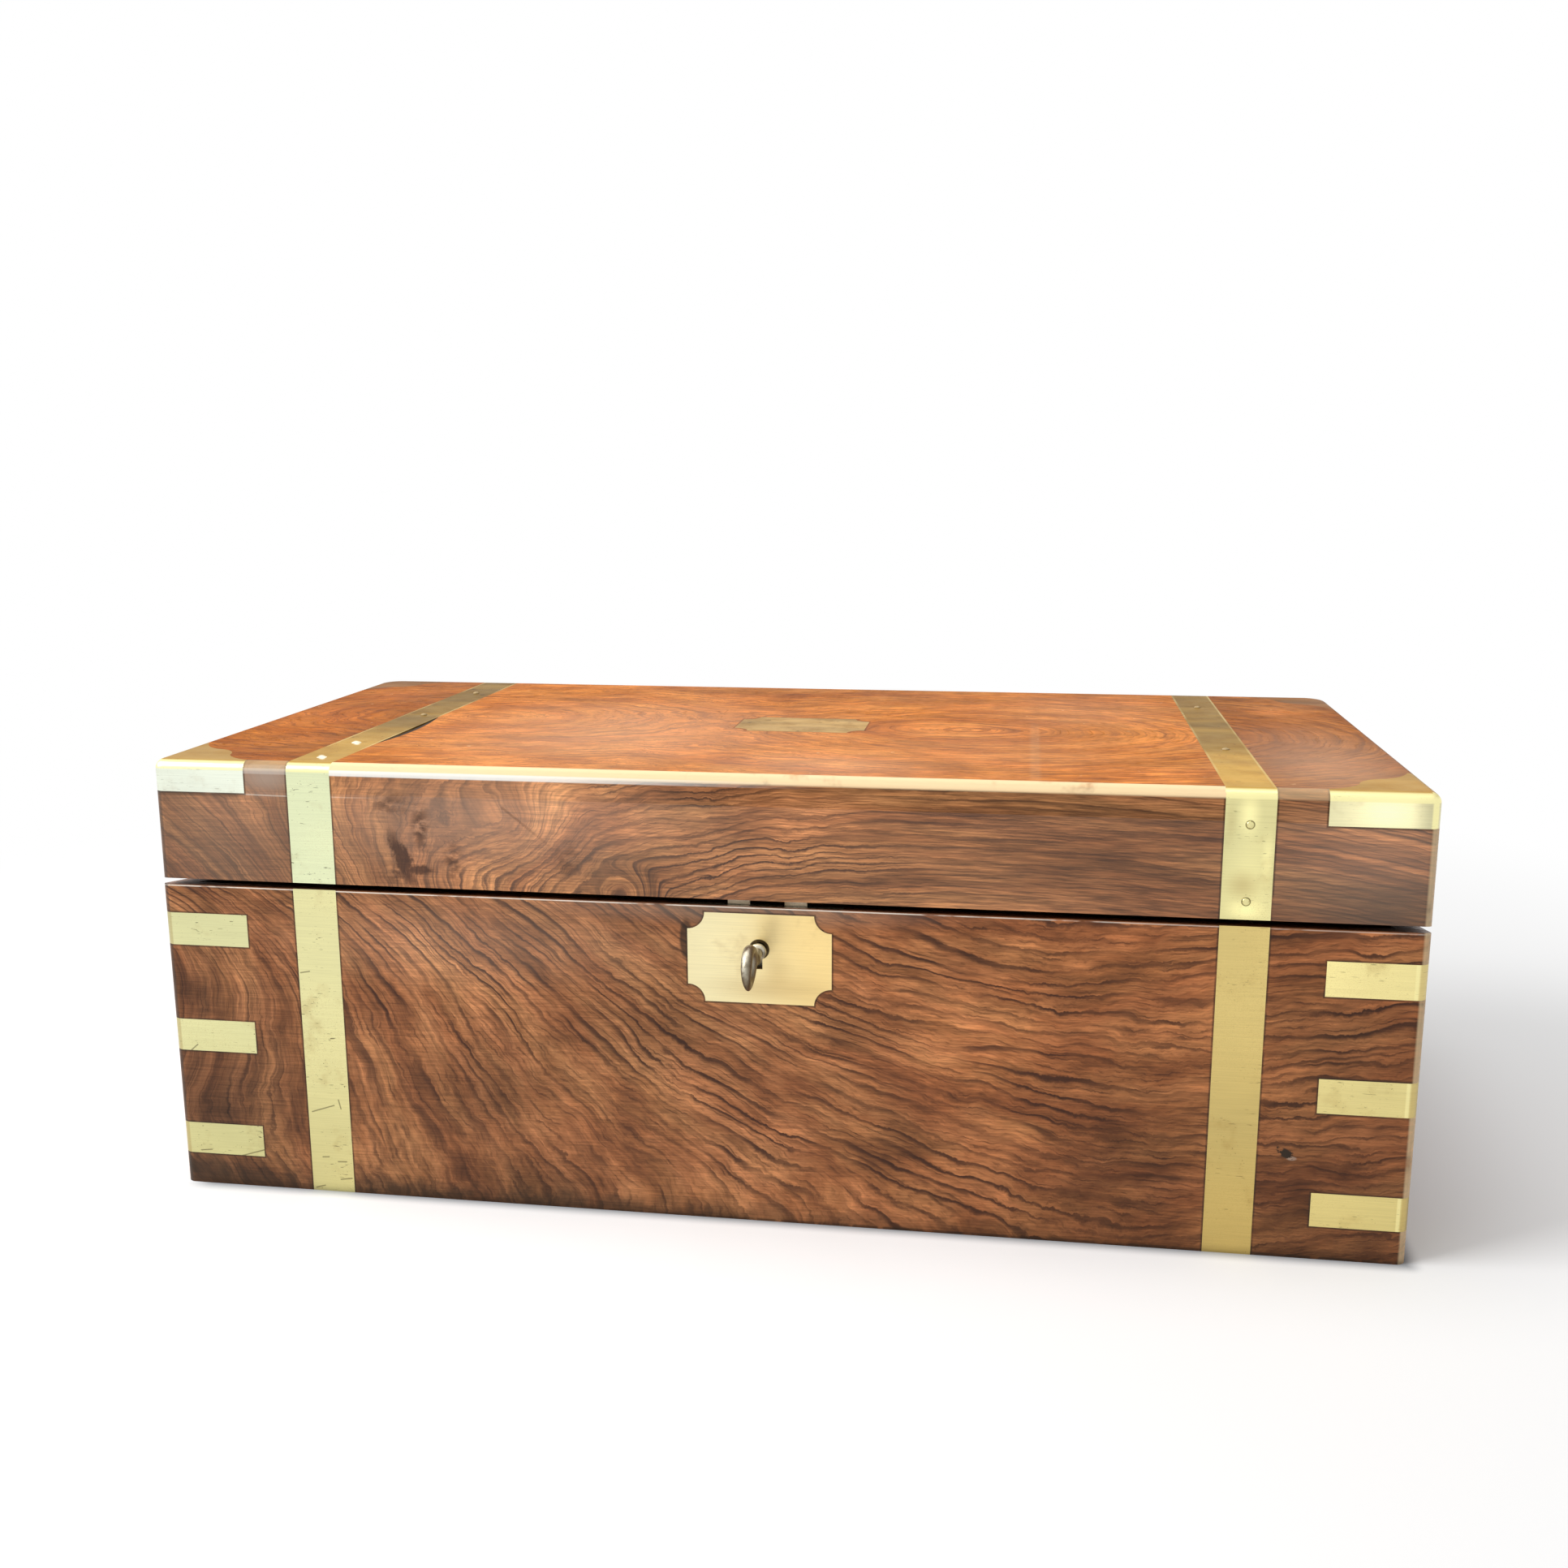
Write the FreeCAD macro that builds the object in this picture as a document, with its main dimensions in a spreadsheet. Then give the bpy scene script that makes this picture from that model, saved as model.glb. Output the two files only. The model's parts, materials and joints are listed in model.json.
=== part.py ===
"""Brass-bound travel writing desk: a sloped case whose lid folds out to double the slope.

Millimetres. +X is the right of the desk, -Y its lock side, +Z up; the origin is the
centre of the underside. The lid is drawn closed and then turned a little open about its hinge.
"""
import FreeCAD, Part
import Sketcher
import os

DIMENSIONS = [
    # case
    ("case_width", 508.0),
    ("case_depth", 247.0),
    ("case_height", 185.0),
    ("seam_front_height", 134.5),
    ("wall_thickness", 11.0),
    ("bottom_thickness", 8.0),
    ("lid_top_thickness", 12.4),
    ("edge_radius", 4.0),
    ("back_corner_radius", 12.0),
    ("seam_gap", 0.3),
    ("lid_ajar", 0.51),
    ("running_gap", 0.3),
    # brass let in flush
    ("brass_thickness", 1.2),
    ("strap_width", 18.6),
    ("strap_inset", 68.0),
    ("corner_strap_length", 37.2),
    ("corner_strap_height", 14.0),
    ("corner_strap_drop", 19.5),
    ("corner_strap_pitch", 47.1),
    ("cap_length", 40.0),
    ("cap_height", 13.2),
    ("cap_square", 4.5),
    ("cap_scoop_long", 31.5),
    ("cap_scoop_short", 9.2),
    ("cap_shoulder_long", 27.0),
    ("cap_shoulder_short", 15.0),
    ("cap_nose", 23.0),
    ("plate_scoop", 7.0),
    ("escutcheon_width", 58.1),
    ("escutcheon_height", 37.1),
    ("escutcheon_drop", 21.6),
    ("plaque_width", 59.6),
    ("plaque_depth", 38.9),
    ("nail_radius", 1.45),
    ("nail_shank_radius", 0.75),
    ("nail_shank_length", 7.0),
    ("nail_top_margin", 13.6),
    ("nail_seam_margin", 7.2),
    ("crack_start", 48.0),
    ("crack_length", 77.0),
    ("crack_width", 1.8),
    ("crack_depth", 4.0),
    # butt hinges of the lid
    ("hinge_standoff", 0.4),
    ("hinge_inset", 124.0),
    ("hinge_length", 60.0),
    ("hinge_leaf_width", 9.0),
    ("hinge_leaf_thickness", 1.4),
    ("knuckle_radius", 2.4),
    ("hinge_pin_radius", 1.1),
    ("pin_clearance", 0.05),
    ("hinge_screw_spread", 20.0),
    ("screw_head_radius", 2.0),
    ("screw_head_height", 1.1),
    ("screw_shank_radius", 1.0),
    ("screw_length", 7.5),
    # lock, link plate and key
    ("lock_front_skin", 2.6),
    ("lock_width", 66.0),
    ("lock_wall", 1.3),
    ("lock_depth_below_key", 13.9),
    ("lock_headroom", 3.1),
    ("lock_plate_width", 82.0),
    ("key_drop", 17.6),
    ("keyhole_radius", 3.0),
    ("keyhole_slot_width", 2.6),
    ("keyhole_slot_depth", 8.2),
    ("bolt_setback", 5.1),
    ("bolt_thickness", 2.2),
    ("bolt_width", 52.0),
    ("bolt_travel", 5.0),
    ("bolt_finger_width", 2.5),
    ("bolt_peg_height", 1.6),
    ("stump_offset", 20.0),
    ("stump_drop", 4.5),
    ("stump_radius", 1.5),
    ("link_centre", 2.5),
    ("link_plate_length", 54.0),
    ("link_plate_depth", 5.4),
    ("link_plate_thickness", 1.6),
    ("link_screw_spread", 22.0),
    ("lug_spacing", 23.0),
    ("lug_width", 9.0),
    ("lug_thickness", 2.0),
    ("lug_lip", 2.0),
    ("key_shank_radius", 2.5),
    ("key_bit_length", 7.3),
    ("key_bit_thickness", 1.9),
    ("drill_pin_radius", 1.15),
    ("key_collar_radius", 3.4),
    ("key_collar_length", 1.6),
    ("key_collar_standoff", 2.6),
    ("bow_radius", 7.1),
    ("bow_wire_radius", 2.0),
    ("bow_standoff", 22.5),
    # fittings inside
    ("compartment_depth", 55.0),
    ("divider_thickness", 7.0),
    ("compartment_drop", 54.5),
    ("compartment_floor_thickness", 6.0),
    ("rest_strip", 7.0),
    ("rest_strip_setback", 6.0),
    ("ink_bay_width", 52.0),
    ("ink_divider_thickness", 5.0),
    ("tray_height", 22.0),
    ("tray_gap", 0.5),
    ("tray_end", 12.0),
    ("trough_radius", 23.0),
    ("trough_depth", 17.0),
    ("inkwell_width", 40.0),
    ("inkwell_height", 29.0),
    ("inkwell_wall", 5.0),
    ("inkwell_neck_radius", 12.0),
    ("inkwell_neck_height", 4.0),
    ("inkwell_cap_radius", 15.0),
    ("inkwell_cap_rim", 3.0),
    ("inkwell_cap_dome", 5.0),
    ("flap_thickness", 7.0),
    ("flap_drop", 0.5),
    ("flap_gap", 0.5),
    ("flap_end_gap", 1.8),
    ("flap_border", 18.0),
    ("leather_thickness", 0.8),
    ("catch_width", 22.0),
    ("catch_depth", 14.0),
    ("catch_thickness", 1.5),
    ("catch_tongue_width", 8.0),
    ("catch_tongue_reach", 1.6),
]
# how far a cutting block reaches past what it cuts
OVER = "5"
SIDES = (("left", -1), ("right", 1))
ENDS = (("front", -1), ("back", 1))
KNUCKLES = 5
HINGE_SCREWS = (-1, 0, 1)
CORNER_STRAPS = 3
# depths from the front face of the nails in the lid straps
NAIL_DEPTHS = {"left": (14.3, 49.2, 127.9, 202.4), "right": (83.9, 202.4)}

doc = FreeCAD.newDocument("travel_writing_desk")
dim = doc.addObject("Spreadsheet::Sheet", "dim")
for row, (alias, size) in enumerate(DIMENSIONS, start=1):
    dim.set(f"A{row}", alias)
    dim.set(f"B{row}", str(size))
    dim.setAlias(f"B{row}", alias)
doc.recompute()
pieces = []

# planes, axes and heights that many pieces share
FRONT = "(-dim.case_depth / 2)"
BACK = "(dim.case_depth / 2)"
HALF = "(dim.case_width / 2)"
TOP = "dim.case_height"
STRAP_X = f"({HALF} - dim.strap_inset)"
HINGE_X = f"({HALF} - dim.hinge_inset)"
INNER_X = f"({HALF} - dim.wall_thickness)"
INNER_FRONT = f"({FRONT} + dim.wall_thickness)"
INNER_BACK = f"({BACK} - dim.wall_thickness)"
AXIS_Y = f"({BACK} + dim.hinge_standoff)"
AXIS_Z = "(dim.case_height / 2)"
SLOPE = f"atan((dim.seam_front_height - {AXIS_Z}) / (dim.case_depth + dim.hinge_standoff))"
HALF_GAP = "(dim.seam_gap / 2)"
KEY_Z = "(dim.seam_front_height - dim.key_drop)"
LOCK_TOP = "(dim.seam_front_height - dim.lock_headroom)"
LOCK_BOTTOM = f"({KEY_Z} - dim.lock_depth_below_key)"
LOCK_FRONT = f"({FRONT} + dim.lock_front_skin)"
LOCK_BACK = f"({INNER_FRONT} - dim.lock_wall)"
BOLT_FRONT = f"({FRONT} + dim.bolt_setback)"
BOLT_BACK = f"({BOLT_FRONT} + dim.bolt_thickness)"
LOCK_PLAY = "(dim.case_depth * sin(dim.lid_ajar * 1 deg) + 2 * dim.running_gap)"
NOTCH_TOP = f"({LOCK_TOP} - dim.running_gap / 3)"
PEG_TOP = f"({NOTCH_TOP} - dim.running_gap)"
PEG_BOTTOM = f"({PEG_TOP} - dim.bolt_peg_height)"
LIP_TOP = f"({PEG_BOTTOM} - {LOCK_PLAY})"
LUG_BOTTOM = f"({LIP_TOP} - dim.lug_lip)"
LUG_FRONT = f"({BOLT_FRONT} + (dim.bolt_thickness - dim.lug_thickness) / 2)"
LUG_BACK = f"({LUG_FRONT} + dim.lug_thickness)"
FLOOR_TOP = "(dim.seam_front_height - dim.compartment_drop)"
FLOOR_UNDER = f"({FLOOR_TOP} - dim.compartment_floor_thickness)"
DIVIDER_FRONT = f"({INNER_FRONT} + dim.compartment_depth)"
DIVIDER_BACK = f"({DIVIDER_FRONT} + dim.divider_thickness)"
INK_X = f"({INNER_X} - dim.ink_bay_width / 2)"
INK_Y = f"({INNER_FRONT} + dim.compartment_depth / 2)"
INK_DIVIDER_X = f"({INNER_X} - dim.ink_bay_width - dim.ink_divider_thickness)"


def place(x="0", y="0", z="0", axis="1; 0; 0", angle="0"):
    """Expression of a placement: a shift and a turn about an axis."""
    shift = f"create(<<vector>>; {x}; {y}; {z})"
    turn = f"create(<<rotation>>; create(<<vector>>; {axis}); {angle})"
    return f"create(<<placement>>; {shift}; {turn})"


# the seam's own frame has its origin on the hinge axis, +Y down the slope and +Z square to it
SEAM_FRAME = place(y=AXIS_Y, z=AXIS_Z, angle=f"-({SLOPE})")
LID_REST = (f"create(<<placement>>; create(<<vector>>; 0; 0; 0); "
            f"create(<<rotation>>; create(<<vector>>; 1; 0; 0); -dim.lid_ajar); "
            f"create(<<vector>>; 0; {AXIS_Y}; {AXIS_Z}))")


def down_slope(depth):
    """Seam-frame Y of a point that lies a depth behind the front face."""
    return f"(-(dim.case_depth + dim.hinge_standoff - ({depth})) / cos({SLOPE}))"


def measure(expression):
    """Number that an expression of the sheet's sizes gives."""
    return float(dim.evalExpression(expression))


def put(feature, where, frame=""):
    """Bind a feature's placement, inside a frame if one is given."""
    feature.setExpression("Placement", f"{frame} * {where}" if frame else where)
    return feature


def box(name, low, high, frame=""):
    """Block between two corners."""
    block = doc.addObject("Part::Box", name)
    for side, start, end in zip(("Length", "Width", "Height"), low, high):
        block.setExpression(side, f"({end}) - ({start})")
    return put(block, place(*low), frame)


def cylinder(name, radius, start, axis, length, frame=""):
    """Rod that runs from a point along +X, +Y or +Z."""
    turns = {"X": ("0; 1; 0", "90"), "Y": ("1; 0; 0", "-90"), "Z": ("1; 0; 0", "0")}
    rod = doc.addObject("Part::Cylinder", name)
    rod.setExpression("Radius", radius)
    rod.setExpression("Height", length)
    return put(rod, place(*start, *turns[axis]), frame)


def cut(name, base, *tools):
    """Base without its tools."""
    result = doc.addObject("Part::Cut", name)
    result.Base = base
    result.Tool = tools[0] if len(tools) == 1 else fuse(f"{name}_tools", *tools)
    return result


def fuse(name, *parts):
    """One solid from overlapping parts."""
    result = doc.addObject("Part::MultiFuse", name)
    result.Shapes = list(parts)
    return result


def common(name, first, second):
    """What two solids share."""
    result = doc.addObject("Part::Common", name)
    result.Base = first
    result.Tool = second
    return result


def group(name, members):
    """Separate solids under one name."""
    result = doc.addObject("Part::Compound", name)
    result.Links = list(members)
    return result


def base_piece(feature, label):
    """Piece of the base, the key or the bolt, which stands where it was drawn."""
    feature.Label = label
    pieces.append(feature)
    return feature


def lid_piece(closed, label):
    """Piece of the lid: the closed form turned open about the hinge."""
    turned = group(f"{label}_at_rest", [closed])
    turned.setExpression("Placement", LID_REST)
    turned.Label = label
    pieces.append(turned)
    return turned


def sketch_on(body, plane, name):
    """Sketch on one of a body's own origin planes."""
    sketch = body.newObject("Sketcher::SketchObject", name)
    support = [part for part in body.Origin.OriginFeatures if part.Role == plane][0]
    sketch.AttachmentSupport = (support, [""])
    sketch.MapMode = "FlatFace"
    return sketch


def fix_point(sketch, geometry, point, x, y):
    """Tie a point of the sketch to the origin by two bound distances."""
    for kind, expression in (("DistanceX", x), ("DistanceY", y)):
        size = measure(expression)
        index = sketch.addConstraint(Sketcher.Constraint(kind, -1, 1, geometry, point, size))
        sketch.setExpression(f"Constraints[{index}]", expression)


def outline(sketch, corners):
    """Closed outline. A corner is (x, y), or (mid x, mid y, x, y) where an arc leads to it."""
    spots = [FreeCAD.Vector(measure(c[-2]), measure(c[-1]), 0) for c in corners]
    ends = []
    for number, corner in enumerate(corners):
        start, end = spots[number - 1], spots[number]
        if len(corner) == 2:
            line = sketch.addGeometry(Part.LineSegment(start, end))
            ends.append((line, 1, 2))
            continue
        middle = FreeCAD.Vector(measure(corner[0]), measure(corner[1]), 0)
        left_turn = (middle - start).cross(end - middle).z > 0
        first, last = (start, end) if left_turn else (end, start)
        arc = sketch.addGeometry(Part.Arc(first, middle, last))
        ends.append((arc, 1, 2) if left_turn else (arc, 2, 1))
        dot = sketch.addGeometry(Part.Point(middle), True)
        fix_point(sketch, dot, 1, corner[0], corner[1])
        sketch.addConstraint(Sketcher.Constraint("PointOnObject", dot, 1, arc))
    for number, corner in enumerate(corners):
        arriving, leaving = ends[number], ends[(number + 1) % len(ends)]
        sketch.addConstraint(Sketcher.Constraint("Coincident", arriving[0], arriving[2],
                                                 leaving[0], leaving[1]))
        fix_point(sketch, arriving[0], arriving[2], corner[-2], corner[-1])


def plate(name, plane, corners, thickness, where):
    """Flat plate of an outline drawn on an origin plane, thickened along its normal."""
    body = doc.addObject("PartDesign::Body", name)
    sketch = sketch_on(body, plane, f"{name}_outline")
    outline(sketch, corners)
    pad = body.newObject("PartDesign::Pad", f"{name}_pad")
    pad.Profile = sketch
    pad.setExpression("Length", thickness)
    return put(body, where)


def screw(name, where, frame=""):
    """Countersunk wood screw whose head lies flush with +Z outwards."""
    head = doc.addObject("Part::Cone", f"{name}_head")
    head.setExpression("Radius1", "dim.screw_shank_radius")
    head.setExpression("Radius2", "dim.screw_head_radius")
    head.setExpression("Height", "dim.screw_head_height")
    put(head, f"{where} * {place(z='-dim.screw_head_height')}", frame)
    shank = doc.addObject("Part::Cylinder", f"{name}_shank")
    shank.setExpression("Radius", "dim.screw_shank_radius")
    shank.setExpression("Height", "dim.screw_length - dim.screw_head_height")
    put(shank, f"{where} * {place(z='-dim.screw_length')}", frame)
    return fuse(name, head, shank)


def rounded_block(name, inset):
    """The closed case as one block, drawn in all round by an inset."""
    body = doc.addObject("PartDesign::Body", name)
    sketch = sketch_on(body, "XY_Plane", f"{name}_plan")
    half_x = f"{HALF} - {inset}"
    half_y = f"{BACK} - {inset}"
    outline(sketch, [(f"-({half_x})", f"-({half_y})"), (half_x, f"-({half_y})"),
                     (half_x, half_y), (f"-({half_x})", half_y)])
    pad = body.newObject("PartDesign::Pad", f"{name}_pad")
    pad.Profile = sketch
    pad.setExpression("Length", f"{TOP} - {inset}")
    doc.recompute()
    top = pad.Shape.BoundBox.ZMax
    upright = [f"Edge{i}" for i, edge in enumerate(pad.Shape.Edges, start=1)
               if edge.BoundBox.ZLength > top / 2 and edge.CenterOfMass.y > 0]
    corners = body.newObject("PartDesign::Fillet", f"{name}_back_corners")
    corners.Base = (pad, upright)
    corners.setExpression("Radius", f"dim.back_corner_radius - {inset}")
    doc.recompute()
    sharp = [f"Edge{i}" for i, edge in enumerate(corners.Shape.Edges, start=1)
             if edge.BoundBox.ZMin > top - 0.001
             or (edge.BoundBox.ZLength > top / 2 and edge.CenterOfMass.y < -measure(half_y) + 0.001)]
    edges = body.newObject("PartDesign::Fillet", f"{name}_edges")
    edges.Base = (corners, sharp)
    edges.setExpression("Radius", f"dim.edge_radius - {inset}")
    doc.recompute()
    return body


def scooped_corners(half_long, half_short):
    """Outline of a plate whose four corners are hollowed by quarter circles."""
    scoop = "dim.plate_scoop"
    deep = f"{scoop} * sqrt(0.5)"
    corners = []
    for sx, sy, along_first in ((1, -1, True), (1, 1, False), (-1, 1, True), (-1, -1, False)):
        on_long = (f"{sx} * ({half_long} - {scoop})", f"{sy} * ({half_short})")
        on_short = (f"{sx} * ({half_long})", f"{sy} * ({half_short} - {scoop})")
        middle = (f"{sx} * ({half_long} - {deep})", f"{sy} * ({half_short} - {deep})")
        first, last = (on_long, on_short) if along_first else (on_short, on_long)
        corners.append(first)
        corners.append(middle + last)
    return corners


def cap_zone(name, sx, sy):
    """Prism over a lid corner: two arms with a scalloped inner edge between them."""
    def spot(along, across):
        return (f"{sx} * ({HALF} - ({along}))", f"{sy} * ({BACK} - ({across}))")

    arm, square = "dim.cap_length", "dim.cap_square"
    scoop = ("dim.cap_scoop_long", "dim.cap_scoop_short")
    shoulder = ("dim.cap_shoulder_long", "dim.cap_shoulder_short")
    outside = f"-{OVER}"
    corners = [
        spot(outside, outside),
        spot(arm, outside),
        spot(arm, square),
        spot(*scoop) + spot(*shoulder),
        spot("dim.cap_nose", "dim.cap_nose") + spot(*shoulder[::-1]),
        spot(*scoop[::-1]) + spot(square, arm),
        spot(outside, arm),
    ]
    return plate(name, "XY_Plane", corners, f"dim.cap_height + {OVER}", place(z=f"{TOP} - dim.cap_height"))


# blocks that the walls and the brass are cut from
case_block = rounded_block("case_block", "0")
inlay_core = rounded_block("inlay_core", "dim.brass_thickness")
far = "2 * dim.case_width"
base_half = box("base_half", (f"-({far})", f"-({far})", f"-({far})"), (far, far, f"-{HALF_GAP}"), SEAM_FRAME)
lid_half = box("lid_half", (f"-({far})", f"-({far})", HALF_GAP), (far, far, far), SEAM_FRAME)
brass_skin = cut("brass_skin", case_block, inlay_core)
base_block = common("base_block", case_block, base_half)
lid_block = common("lid_block", case_block, lid_half)
base_skin = common("base_skin", brass_skin, base_half)
lid_skin = common("lid_skin", brass_skin, lid_half)


# brass of the base
base_brass = []
for side, sx in SIDES:
    for end, sy in ENDS:
        low_x = f"{sx} * {STRAP_X} - dim.strap_width / 2"
        near_y, far_y = sorted((0, sy))
        zone = box(f"base_{end}_strap_{side}_zone",
                   (low_x, f"{near_y} * ({BACK} + {OVER})", f"-{OVER}"),
                   (f"{low_x} + dim.strap_width", f"{far_y} * ({BACK} + {OVER})", TOP))
        strap = common(f"base_{end}_strap_{side}", base_skin, zone)
        base_brass.append(base_piece(strap, f"base_{end}_strap_{side}"))
        angles = []
        for level in range(CORNER_STRAPS):
            middle = f"(dim.seam_front_height - dim.corner_strap_drop - {level} * dim.corner_strap_pitch)"
            if end == "back":
                middle = (f"({AXIS_Z} * (dim.seam_front_height - dim.corner_strap_drop"
                          f" - {level} * dim.corner_strap_pitch) / dim.seam_front_height)")
            reach_x = sorted((f"{sx} * ({HALF} - dim.corner_strap_length)", f"{sx} * ({HALF} + {OVER})"),
                             key=measure)
            reach_y = sorted((f"{sy} * ({BACK} - dim.corner_strap_length)", f"{sy} * ({BACK} + {OVER})"),
                             key=measure)
            zone = box(f"corner_strap_{end}_{side}_{level}_zone",
                       (reach_x[0], reach_y[0], f"{middle} - dim.corner_strap_height / 2"),
                       (reach_x[1], reach_y[1], f"{middle} + dim.corner_strap_height / 2"))
            angles.append(common(f"corner_strap_{end}_{side}_{level}", base_skin, zone))
        straps = group(f"base_corner_straps_{end}_{side}", angles)
        base_brass.append(base_piece(straps, f"base_corner_straps_{end}_{side}"))


def keyhole(name, depth_from, depth_to):
    """Round hole and slot of the keyhole, as a cutting tool between two depths."""
    hole = cylinder(f"{name}_round", "dim.keyhole_radius", ("0", depth_from, KEY_Z), "Y",
                    f"({depth_to}) - ({depth_from})")
    slot = box(f"{name}_slot",
               ("-dim.keyhole_slot_width / 2", depth_from, f"{KEY_Z} - dim.keyhole_slot_depth"),
               ("dim.keyhole_slot_width / 2", depth_to, KEY_Z))
    return fuse(name, hole, slot)


key_passage = keyhole("key_passage", f"{FRONT} - {OVER}", f"{LOCK_FRONT} + 2 * dim.lock_wall")
escutcheon_plate = plate("escutcheon_plate", "XZ_Plane",
                         scooped_corners("dim.escutcheon_width / 2", "dim.escutcheon_height / 2"),
                         "dim.brass_thickness",
                         place(y=f"{FRONT} + dim.brass_thickness",
                               z="dim.seam_front_height - dim.escutcheon_drop"))
escutcheon = base_piece(cut("escutcheon", escutcheon_plate, key_passage), "escutcheon")
base_wood = cut("base_wood", base_block, group("base_brass_set", base_brass + [escutcheon_plate]))


# lock let into the inside of the front board
lock_space = common("lock_space", box("lock_block", ("-dim.lock_width / 2", LOCK_FRONT, LOCK_BOTTOM),
                                      ("dim.lock_width / 2", LOCK_BACK, TOP)), base_half)
lock_cavity = box("lock_cavity",
                  ("-dim.lock_width / 2 + dim.lock_wall", f"{LOCK_FRONT} + dim.lock_wall",
                   f"{LOCK_BOTTOM} + dim.lock_wall"),
                  ("dim.lock_width / 2 - dim.lock_wall", f"{LOCK_BACK} + {OVER}", LOCK_TOP))
LUGS = [f"(dim.link_centre + {sign} * dim.lug_spacing / 2 - dim.lug_width / 2)" for sign in (-1, 1)]
# a lug leaves its slot on an arc about the hinge, so the slot is longer to the back
SLOT_BACK = f"({LUG_BACK} + dim.lug_width / 4)"
lug_slots = [box(f"lug_slot_{i}",
                 (f"{lug} - 2 * dim.running_gap", f"{LUG_FRONT} - 2 * dim.running_gap",
                  f"{LOCK_TOP} - {OVER}"),
                 (f"{lug} + dim.lug_width + 2 * dim.running_gap", SLOT_BACK, TOP))
             for i, lug in enumerate(LUGS)]
lock_case = base_piece(cut("lock_case", lock_space, lock_cavity, key_passage, *lug_slots), "lock_case")

LOCK_PLATE_TOP = f"({LOCK_TOP} - 2 * dim.running_gap)"
lock_plate = box("lock_plate", ("-dim.lock_plate_width / 2", LOCK_BACK, LOCK_BOTTOM),
                 ("dim.lock_plate_width / 2", INNER_FRONT, LOCK_PLATE_TOP))
STUMP_Z = f"({KEY_Z} - dim.stump_drop)"
PIN_FRONT = f"({LOCK_FRONT} + dim.lock_wall + dim.running_gap)"
drill_pin = cylinder("drill_pin", "dim.drill_pin_radius", ("0", PIN_FRONT, KEY_Z), "Y",
                     f"{INNER_FRONT} - {PIN_FRONT}")
stump = cylinder("stump", "dim.stump_radius", ("dim.stump_offset", PIN_FRONT, STUMP_Z), "Y",
                 f"{INNER_FRONT} - {PIN_FRONT}")
lock_screw_set = []
for side, sx in SIDES:
    for level, height in enumerate((f"{LOCK_BOTTOM} + 3 * dim.screw_head_radius",
                                    f"{LOCK_PLATE_TOP} - 3 * dim.screw_head_radius")):
        middle = f"{sx} * (dim.lock_plate_width + dim.lock_width) / 4"
        lock_screw_set.append(screw(f"lock_screw_{side}_{level}",
                                    place(middle, INNER_FRONT, height, angle="-90")))
lock_screws = base_piece(group("lock_screws", lock_screw_set), "lock_screws")
lock_cap_blank = fuse("lock_cap_blank", lock_plate, drill_pin, stump)
lock_cap = base_piece(cut("lock_cap", lock_cap_blank, lock_screws), "lock_cap")

# bolt: a plate with two hooked fingers, a window for the key and a slot for the stump
BOLT_BOTTOM = f"({LOCK_BOTTOM} + dim.lock_wall + dim.running_gap)"
BOLT_TOP = f"({LUG_BOTTOM} - 2 * dim.running_gap)"
BOLT_LEFT = "(dim.link_centre - dim.bolt_travel / 2 - dim.bolt_width / 2 - dim.running_gap)"
bolt_parts = [box("bolt_plate", (BOLT_LEFT, BOLT_FRONT, BOLT_BOTTOM),
                  (f"{BOLT_LEFT} + dim.bolt_width", BOLT_BACK, BOLT_TOP))]
for i, lug in enumerate(LUGS):
    tip = f"({lug} - 2 * dim.running_gap)"
    root = f"({tip} - dim.bolt_travel)"
    bolt_parts.append(box(f"bolt_finger_{i}",
                          (f"{root} - dim.bolt_finger_width", BOLT_FRONT, f"{BOLT_TOP} - 1"),
                          (root, BOLT_BACK, PEG_TOP)))
    bolt_parts.append(box(f"bolt_peg_{i}", (f"{root} - 1", BOLT_FRONT, PEG_BOTTOM),
                          (tip, BOLT_BACK, PEG_TOP)))
CLEAR_SHANK = "(dim.key_shank_radius + 1.5 * dim.running_gap)"
# the bit swings from below the shank to beside it while the bolt follows
TALON_RIGHT = "(dim.key_bit_length - dim.bolt_travel * 2 / 3 + 2 * dim.running_gap)"
bolt_window = box("bolt_window",
                  (f"-dim.bolt_travel - {CLEAR_SHANK}", f"{BOLT_FRONT} - {OVER}", f"{KEY_Z} - {CLEAR_SHANK}"),
                  (TALON_RIGHT, f"{BOLT_BACK} + {OVER}", f"{KEY_Z} + {CLEAR_SHANK}"))
bolt_talon = box("bolt_talon",
                 ("-dim.key_bit_thickness / 2 - dim.running_gap", f"{BOLT_FRONT} - {OVER}",
                  f"{KEY_Z} - dim.key_bit_length - dim.running_gap"),
                 (TALON_RIGHT, f"{BOLT_BACK} + {OVER}", KEY_Z))
STUMP_CLEAR = "(dim.stump_radius + dim.running_gap)"
bolt_slot = box("bolt_slot",
                (f"dim.stump_offset - dim.bolt_travel - {STUMP_CLEAR}", f"{BOLT_FRONT} - {OVER}",
                 f"{STUMP_Z} - {STUMP_CLEAR}"),
                (f"dim.stump_offset + {STUMP_CLEAR}", f"{BOLT_BACK} + {OVER}", f"{STUMP_Z} + {STUMP_CLEAR}"))
bolt_blank = fuse("lock_bolt_blank", *bolt_parts)
lock_bolt = base_piece(cut("lock_bolt", bolt_blank, bolt_window, bolt_talon, bolt_slot), "lock_bolt")

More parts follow.
